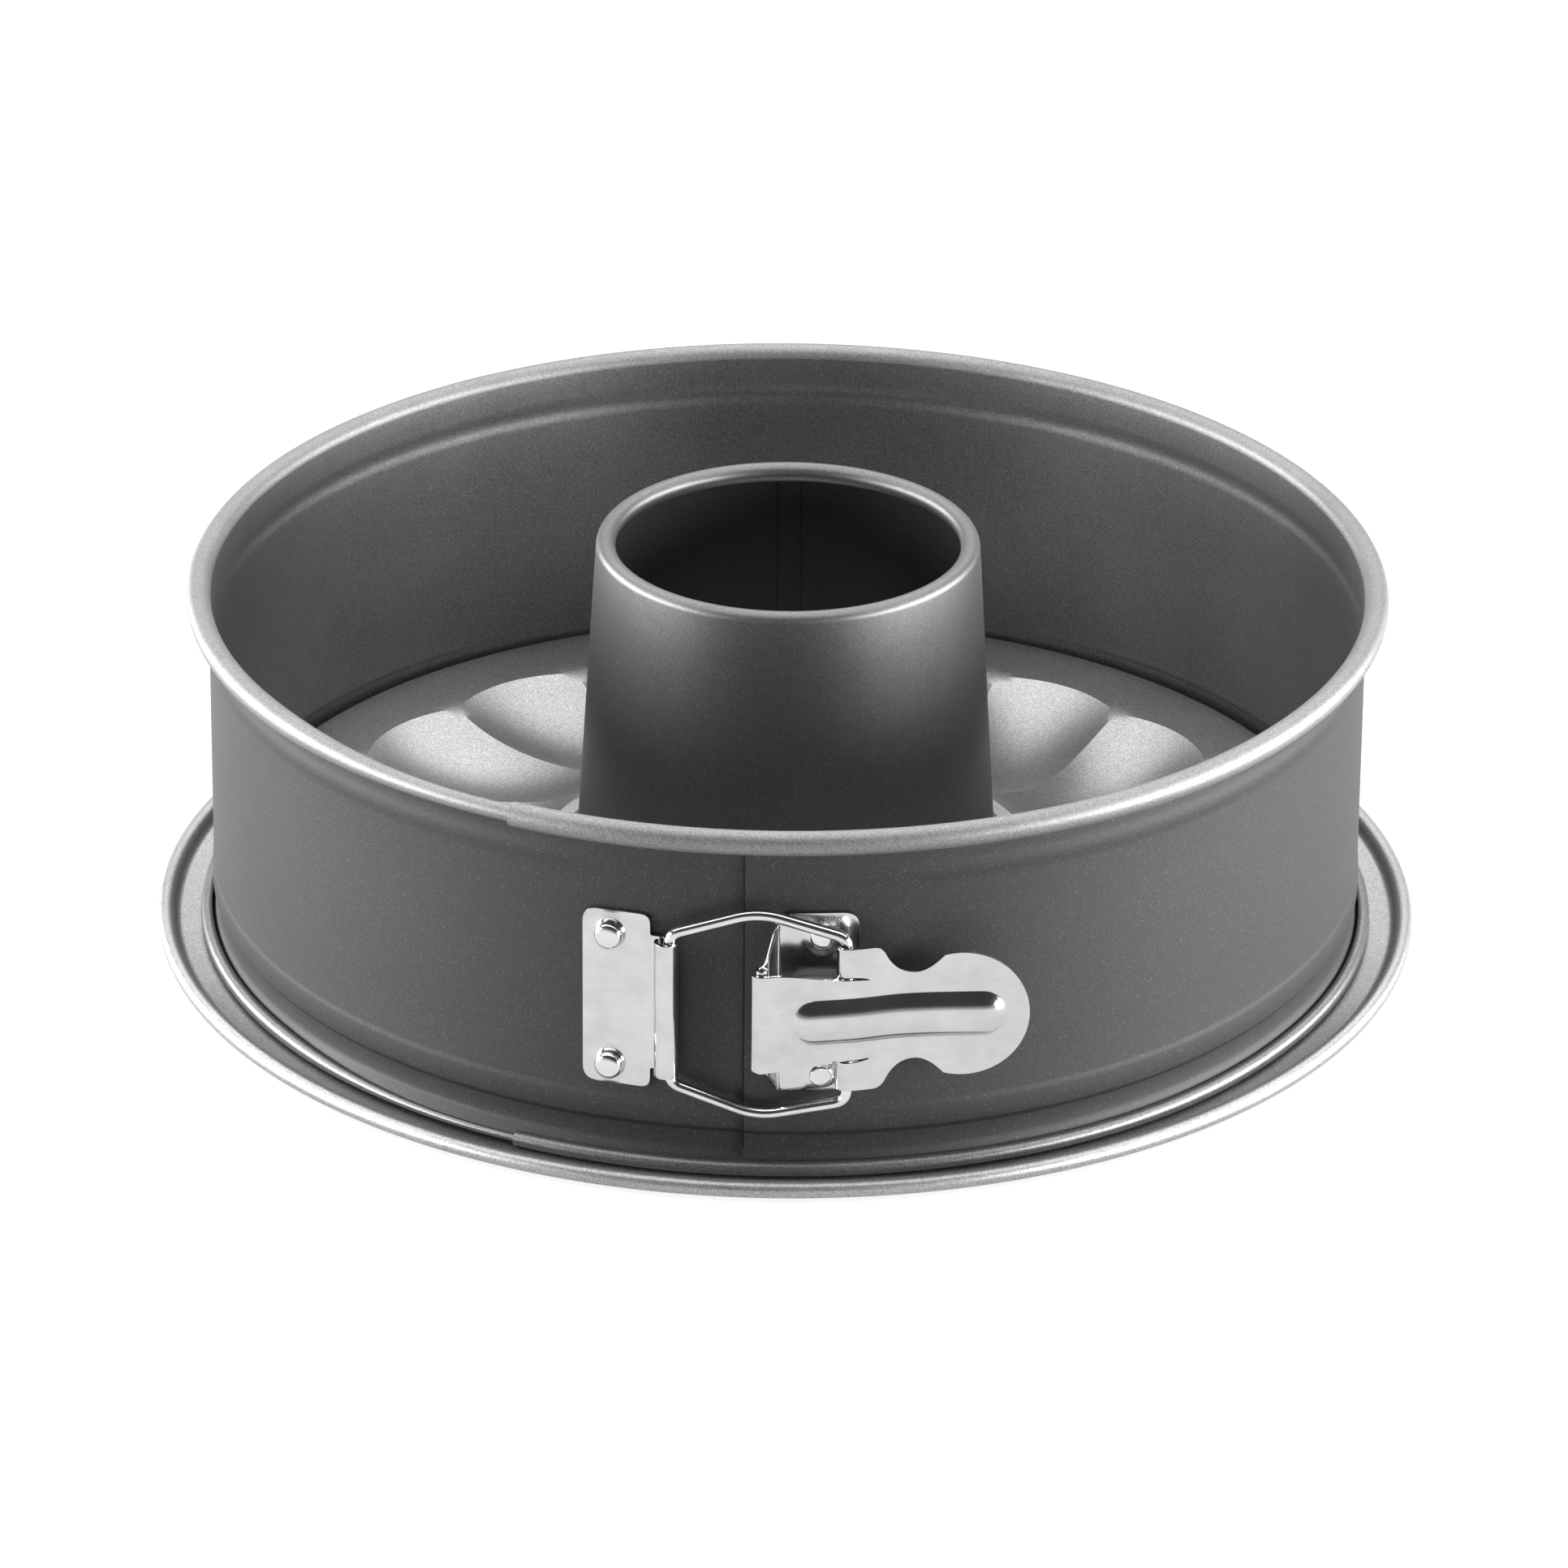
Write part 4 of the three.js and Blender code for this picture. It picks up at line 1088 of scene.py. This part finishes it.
@dataclass
class Lever:
    """Pressed lever with its hinge roll, hooked ears, waist, thumb pad and rib."""

    stand: Stand = Stand(3.45, 41.6)
    sheet: float = 0.8
    hinge: Point = (-13.3, -138.85)
    roll_radius: float = 2.0
    roll_end: float = 196.0
    line: float = -140.85
    setback: float = 1.6
    dip: float = 4.0
    tongue: float = 22.8
    tongue_neck: float = 19.2
    ear_distance: float = 18.5
    ear_length: float = 7.0
    ear_height: float = 33.8
    slit: float = 0.7
    slit_depth: float = 4.6
    hook: Point = (5.2, -136.95)
    hook_radius: float = 2.3
    hook_end: float = 205.0
    waist: float = 33.2
    waist_height: float = 20.6
    thumb: float = 43.2
    thumb_radius: float = 14.6
    rib_start: float = 6.6
    rib_margin: float = 5.1
    rib_width: float = 10.0
    rib_rise: float = 2.1

    def centre_line(self) -> list[Point]:
        """Smooth plan line of the lever from its hinge to the end of its thumb pad."""
        x0 = self.hinge[0]
        knots = np.array([
            (x0, self.line),
            (self.hook[0], self.line + self.setback),
            (x0 + self.waist, self.line + self.dip),
            (x0 + self.thumb + self.thumb_radius, self.line + self.dip),
        ])
        padded = np.vstack([2 * knots[0] - knots[1], knots, 2 * knots[-1] - knots[-2]])
        points: list[Point] = []
        for i in range(1, len(padded) - 2):
            a, b, c, d = padded[i - 1 : i + 3]
            for t in spread_over(0, 1, 16)[: 16 if i < len(padded) - 3 else 17]:
                spot = 0.5 * (
                    2 * b + (c - a) * t + (2 * a - 5 * b + 4 * c - d) * t**2 + (3 * b - a - 3 * c + d) * t**3
                )
                points.append((float(spot[0]), float(spot[1])))
        return points

    def path(self) -> Path:
        """Plan line of the whole sheet, with the hinge roll in front of the lever's own line."""
        roll = arc(self.hinge, self.roll_radius, spread_over(self.roll_end, 270, 16))
        return Path((*roll[:-1], *self.centre_line()))

    def lip(self, ear: Point) -> Path:
        """Plan line of a hooked ear's lip, from its free end to the ear."""
        return Path((*arc(self.hook, self.hook_radius, spread_over(self.hook_end, 270, 16)), ear))

    def outline(self, at: Callable[[float], float], lip: float) -> list[Point]:
        """Edge of the flat sheet.

        Args:
            at: length along the sheet at a distance from the hinge.
            lip: length by which the ears' lips reach back beyond the hooks.

        Returns:
            Points along the edge, as length along the sheet and height.
        """
        hook = at(self.ear_distance)
        tongue, neck = self.tongue / 2, self.tongue_neck / 2
        ear, waist = self.ear_height / 2, self.waist_height / 2
        far = at(self.ear_distance + self.ear_length)
        narrow = at(self.waist)
        centre = at(self.thumb)
        shoulder = (centre - 0.26 * self.thumb_radius, 0.966 * self.thumb_radius)
        cheek = lerp(narrow, shoulder[0], 0.45)
        slope = lerp(far, narrow, 0.42)
        top: list[Point] = [
            (0.0, tongue),
            *bezier((at(3.0), tongue), (at(6.0), tongue), (at(11.0), tongue - 0.9), 6),
            (hook - 0.6, neck),
            *bezier((hook, neck - 0.05), (hook + 0.5 * self.slit_depth, neck - 0.1), (hook + self.slit_depth, neck - 0.3), 4),
            *bezier(
                (hook + self.slit_depth, neck), (hook + 0.5 * self.slit_depth, neck + self.slit),
                (hook, neck + self.slit), 4,
            ),
            (hook - lip, neck + self.slit),
            (hook - lip, ear),
            (hook, ear),
            *bezier((far - 1.6, ear), (far, ear), (far + 1.0, ear - 1.6), 5),
            *bezier((far + 1.0, ear - 1.6), (slope, waist), (narrow, waist), 12)[1:],
            *bezier((narrow, waist), (cheek, waist), shoulder, 12)[1:-1],
        ]
        pad = arc((centre, 0.0), self.thumb_radius, spread_over(105, -105, 48))
        bottom = [(u, -z) for u, z in reversed(top)]
        return [*top, *pad, *bottom]

    def rib(self, u: np.ndarray, z: np.ndarray, start: float, end: float) -> np.ndarray:
        """Height of the pressed rib at places on the flat sheet."""
        half = self.rib_width / 2
        middle = np.clip(u, start + half, end - half)
        gap = np.hypot(u - middle, z) / half
        return self.rib_rise * np.clip(1.0 - gap**2.2, 0.0, 1.0) ** 0.85

    def build(self) -> Obj:
        """Cuts the flat lever, presses its rib, and bends its roll, its ears and its swing."""
        path = self.path()
        roll = math.radians(270 - self.roll_end) * self.roll_radius
        end = float(path.lengths()[-1])

        def at(distance: float) -> float:
            return path.length_at(self.hinge[0] + distance, roll * 0.98)

        hook = at(self.ear_distance)
        ear_from = hook + 1.6
        ex, ey = path.bend(np.array([ear_from]), np.zeros(1))
        lip = self.lip((float(ex[0]), float(ey[0])))
        lip_length = float(lip.lengths()[-1]) - (ear_from - hook)
        outline = self.outline(at, lip_length)
        cuts = fine(0.0, roll, 0.3) + fine(roll - 0.2, hook - lip_length - 0.2, 0.6)
        cuts += fine(hook - lip_length - 0.3, hook + 2.0, 0.35) + fine(hook + 2.0, end, 0.6)
        obj = Bench.flat("lever_plate", outline, cuts, fine(-self.ear_height / 2, self.ear_height / 2, 0.55))
        flat = Bench.places(obj)
        u, z = flat[:, 0], flat[:, 2]
        start = at(self.rib_start)
        stop = at(self.thumb + self.thumb_radius - self.rib_margin)
        x, y = path.bend(u, -self.rib(u, z, start, stop))
        on_lip = (np.abs(z) > self.tongue_neck / 2 + 0.25 * self.slit) & (u < ear_from)
        lx, ly = lip.bend(np.clip(u - hook + lip_length, 0.0, None), np.zeros(len(u)))
        in_tongue = (u < hook - lip_length - 0.05)
        on_lip &= ~in_tongue
        x, y = np.where(on_lip, lx, x), np.where(on_lip, ly, y)
        Bench.move(obj, self.stand.set(x, y, z))
        Bench.thicken(obj, self.sheet)
        Bench.soften(obj, 0.16)
        Bench.shade(obj, 40.0)
        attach(obj, Body.LEVER.value)
        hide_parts("latch_lever")
        return obj


@dataclass
class Bail:
    """Wire bail from the knuckle round both arms to the lever's hooks."""

    start: tuple[float, float, float] = (-24.7541, -131.6778, 40.5)
    end: tuple[float, float] = (13.4319, -136.3889)
    radius: float = 1.3
    joint_gap: float = 1.2
    foot: float = 17.9
    apex: float = 24.5
    corner: float = 19.6
    foot_bend: float = 2.6
    apex_bend: float = 5.0
    corner_bend: float = 2.6

    def route(self) -> list[tuple[float, float]]:
        """Middle line of the wire as (distance from the knuckle, height), bends included."""
        span = math.hypot(self.end[0] - self.start[0], self.end[1] - self.start[1])
        half = [
            (0.0, self.joint_gap / 2, 0.0),
            (0.0, self.foot, self.foot_bend),
            (span / 2, self.apex, self.apex_bend),
            (span, self.corner, self.corner_bend),
        ]
        whole = half + [(s, -z, reach) for s, z, reach in reversed(half)]
        line: list[tuple[float, float]] = []
        for i, (s, z, reach) in enumerate(whole):
            if reach == 0.0:
                line.append((s, z))
                continue
            ends = []
            for other in (whole[i - 1], whole[i + 1]):
                way = Vector((other[0] - s, other[1] - z)).normalized() * reach
                ends.append((s + way.x, z + way.y))
            line += bezier(ends[0], (s, z), ends[1], 10)
        return line

    def build(self) -> Obj:
        """Draws the wire's curve with a round section and turns it into a mesh."""
        Bench.clear()
        bpy.ops.curve.primitive_bezier_curve_add(location=(0, 0, 0))
        obj = bpy.context.object
        obj.name = "bail_wire"
        curve = obj.data
        curve.splines.clear()
        way = Vector((self.end[0] - self.start[0], self.end[1] - self.start[1])).normalized()
        line = self.route()
        spline = curve.splines.new("POLY")
        spline.points.add(len(line) - 1)
        for point, (s, z) in zip(spline.points, line):
            point.co = (
                (self.start[0] + way.x * s) * MM, (self.start[1] + way.y * s) * MM, (self.start[2] + z) * MM, 1.0,
            )
        curve.dimensions = "3D"
        curve.bevel_depth = self.radius * MM
        curve.bevel_resolution = 6
        curve.use_fill_caps = True
        bpy.ops.object.convert(target="MESH")
        obj = bpy.context.object
        obj.name = "bail_wire"
        Bench.face_out(obj)
        Bench.shade(obj, 50.0)
        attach(obj, Body.BAIL.value)
        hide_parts("wire_bail")
        return obj


@dataclass
class Studio:
    """Pale floor, soft lamps, pale world and the camera."""

    camera_place: tuple[float, float, float] = (0.0, -1946.4, 963.3)
    camera_aim: tuple[float, float, float] = (-0.5, 0.0, 31.2)
    roll: float = 0.451
    lens: float = 217.46
    floor_size: float = 12.0

    def floor(self) -> None:
        """Lays the floor, white to the camera and soft in the shadow of the pan."""
        Bench.clear()
        bpy.ops.mesh.primitive_plane_add(size=self.floor_size, location=(0, 0, -0.0004))
        obj = bpy.context.object
        obj.name = "studio_floor"
        nodes = Nodes("floor_paint")
        tree = nodes.tree
        nodes.shader.inputs["Base Color"].default_value = (0.86, 0.86, 0.86, 1.0)
        nodes.shader.inputs["Roughness"].default_value = 0.9
        nodes.shader.inputs["Specular IOR Level"].default_value = 0.0
        glow = nodes.add("ShaderNodeEmission")
        glow.inputs["Strength"].default_value = 1.0
        path = nodes.add("ShaderNodeLightPath")
        seen = nodes.add("ShaderNodeMath", operation="MAXIMUM")
        nodes.link(path.outputs["Is Camera Ray"], seen.inputs[0])
        nodes.link(path.outputs["Is Glossy Ray"], seen.inputs[1])
        both = nodes.add("ShaderNodeMath", operation="MAXIMUM")
        nodes.link(seen.outputs[0], both.inputs[0])
        nodes.link(path.outputs["Is Transmission Ray"], both.inputs[1])
        share = nodes.add("ShaderNodeMath", operation="MULTIPLY")
        nodes.link(both.outputs[0], share.inputs[0])
        share.inputs[1].default_value = 0.85
        mix = nodes.add("ShaderNodeMixShader")
        nodes.link(share.outputs[0], mix.inputs[0])
        nodes.link(nodes.shader.outputs[0], mix.inputs[1])
        nodes.link(glow.outputs[0], mix.inputs[2])
        output = next(node for node in tree.nodes if node.type == "OUTPUT_MATERIAL")
        nodes.link(mix.outputs[0], output.inputs["Surface"])
        obj.data.materials.append(nodes.material)
        obj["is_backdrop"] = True

    def world(self) -> None:
        """Fades the room from white at the horizon to a dim ceiling, with more white behind the pan."""
        world = bpy.data.worlds.new("studio_world")
        bpy.context.scene.world = world
        world.use_nodes = True
        tree = world.node_tree
        background = tree.nodes["Background"]
        background.inputs["Strength"].default_value = 1.0
        coords = tree.nodes.new("ShaderNodeTexCoord")
        split = tree.nodes.new("ShaderNodeSeparateXYZ")
        lean = tree.nodes.new("ShaderNodeMath")
        ramp = tree.nodes.new("ShaderNodeValToRGB")
        lean.operation = "MULTIPLY_ADD"
        lean.inputs[1].default_value = -0.14
        tree.links.new(coords.outputs["Generated"], split.inputs["Vector"])
        tree.links.new(split.outputs["Y"], lean.inputs[0])
        tree.links.new(split.outputs["Z"], lean.inputs[2])
        tree.links.new(lean.outputs[0], ramp.inputs["Fac"])
        tree.links.new(ramp.outputs["Color"], background.inputs["Color"])
        elements = ramp.color_ramp.elements
        elements[0].position, elements[0].color = 0.02, (1.0, 1.0, 1.0, 1.0)
        elements[1].position, elements[1].color = 0.36, (0.06, 0.06, 0.06, 1.0)

    def lamp(self, name: str, place: Sequence[float], aim: Sequence[float], size: Point, power: float) -> None:
        """Adds one soft box.

        Args:
            name: name of the lamp.
            place: where it hangs, in metres.
            aim: what it points at, in metres.
            size: its width and height in metres.
            power: its power in watts.
        """
        lamp = bpy.data.lights.new(name, "AREA")
        lamp.shape = "RECTANGLE"
        lamp.size, lamp.size_y = size
        lamp.energy = power
        obj = bpy.data.objects.new(name, lamp)
        bpy.context.collection.objects.link(obj)
        obj.location = place
        way = Vector(aim) - Vector(place)
        obj.rotation_euler = way.to_track_quat("-Z", "Y").to_euler()
        obj.visible_camera = False

    def camera(self) -> None:
        """Sets the camera at the photograph's angle."""
        data = bpy.data.cameras.new("camera")
        data.lens = self.lens
        data.sensor_width = 36.0
        data.clip_end = 50.0
        obj = bpy.data.objects.new("camera", data)
        bpy.context.collection.objects.link(obj)
        place = Vector(self.camera_place) * MM
        way = Vector(self.camera_aim) * MM - place
        turn = way.to_track_quat("-Z", "Y").to_matrix().to_4x4()
        obj.matrix_world = Matrix.Translation(place) @ turn @ Matrix.Rotation(math.radians(self.roll), 4, "Z")
        bpy.context.scene.camera = obj

    def build(self) -> None:
        """Sets up the whole studio."""
        self.camera()
        self.floor()
        self.world()
        self.lamp("top_box", (0.0, 0.3, 1.6), (0.0, 0.3, 0.0), (4.2, 2.0), 80.0)
        self.lamp("back_box", (0.0, 1.7, 1.5), (0.0, 0.0, 0.0), (3.0, 0.9), 34.0)
        self.lamp("left_box", (-1.0, 0.08, 0.2), (0.0, 0.08, 0.05), (1.5, 0.4), 34.0)
        self.lamp("right_box", (1.0, -0.28, 0.2), (0.0, -0.28, 0.05), (1.4, 0.4), 38.0)


def main() -> None:
    """Builds the pan piece by piece and dresses it."""
    logging.basicConfig(level=logging.INFO, format="%(message)s")
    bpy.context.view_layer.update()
    bpy.context.scene.view_settings.view_transform = "Standard"
    Studio().build()

    ring_coat = Coating("ring_coat", 0.004, 0.008, 0.10, 0.62, 0.0, 0.55, 0.010).material()
    inner_coat = Coating("inner_coat", 0.122, 0.220, 0.38, 0.42, 0.9, 0.5, 0.020).material()
    # Painted sheen: lighter copy of the inner coat for the rolled rim, with a rougher finish.
    rim_coat_painted_sheen = Coating("rim_coat_painted_sheen", 0.145, 0.252, 0.40, 0.55, 0.9, 0.5, 0.020).material()
    # Painted shadow: near-black coat for the thin strip at the lap's edge.
    lap_painted_shadow = Coating("lap_painted_shadow", 0.002, 0.005, 0.02, 0.70, 0.0, 0.22, 0.004).material()
    floor_coat = Coating("floor_coat", 0.22, 0.40, 0.65, 0.42, 0.9, 0.5, 0.020).material()
    tube_coat = Coating("tube_coat", 0.104, 0.152, 0.27, 0.46, 0.9, 0.5, 0.012).material()
    # Painted shade: a near-black copy of the tube's coat darkens the bore where shade falls inside the tube.
    bore_painted_shade = Coating("bore_painted_shade", 0.016, 0.026, 0.05, 0.40, 0.0, 0.2, 0.006).material()
    sheet_plate = Plating("sheet_plate", 0.52, 0.62, 0.16, 0.002).material()
    lever_plate = Plating("lever_plate", 0.505, 0.60, 0.13, 0.002).material()
    wire_plate = Plating("wire_plate", 0.60, 0.70, 0.14, 0.002).material()
    rivet_plate = Plating("rivet_plate", 0.60, 0.70, 0.15, 0.002).material()

    catch, mount = CatchBracket(), MountBracket()
    dress(Base().build(), Slot.FLOOR, floor_coat)
    # The bore's slot takes the painted shade.
    dress(Tube().build(), Slot.TUBE, tube_coat, bore_painted_shade)
    for half in Ring().build():
        # The rim slot takes a painted sheen and the lap's edge slot takes a painted shadow.
        dress(half, Slot.RING, ring_coat, inner_coat, sheet_plate, rim_coat_painted_sheen, lap_painted_shadow)
    dress(catch.build(), Slot.SHEET, sheet_plate)
    dress(mount.build(), Slot.SHEET, sheet_plate)
    for rivet in (*catch.rivets(), *mount.rivets()):
        dress(rivet, Slot.RIVET, rivet_plate)
    dress(Lever().build(), Slot.LEVER, lever_plate)
    dress(Bail().build(), Slot.WIRE, wire_plate)
    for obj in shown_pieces():
        log.info("%s: %d faces", obj.name, len(obj.data.polygons))

    bpy.context.view_layer.update()


if __name__ == "__main__":
    main()
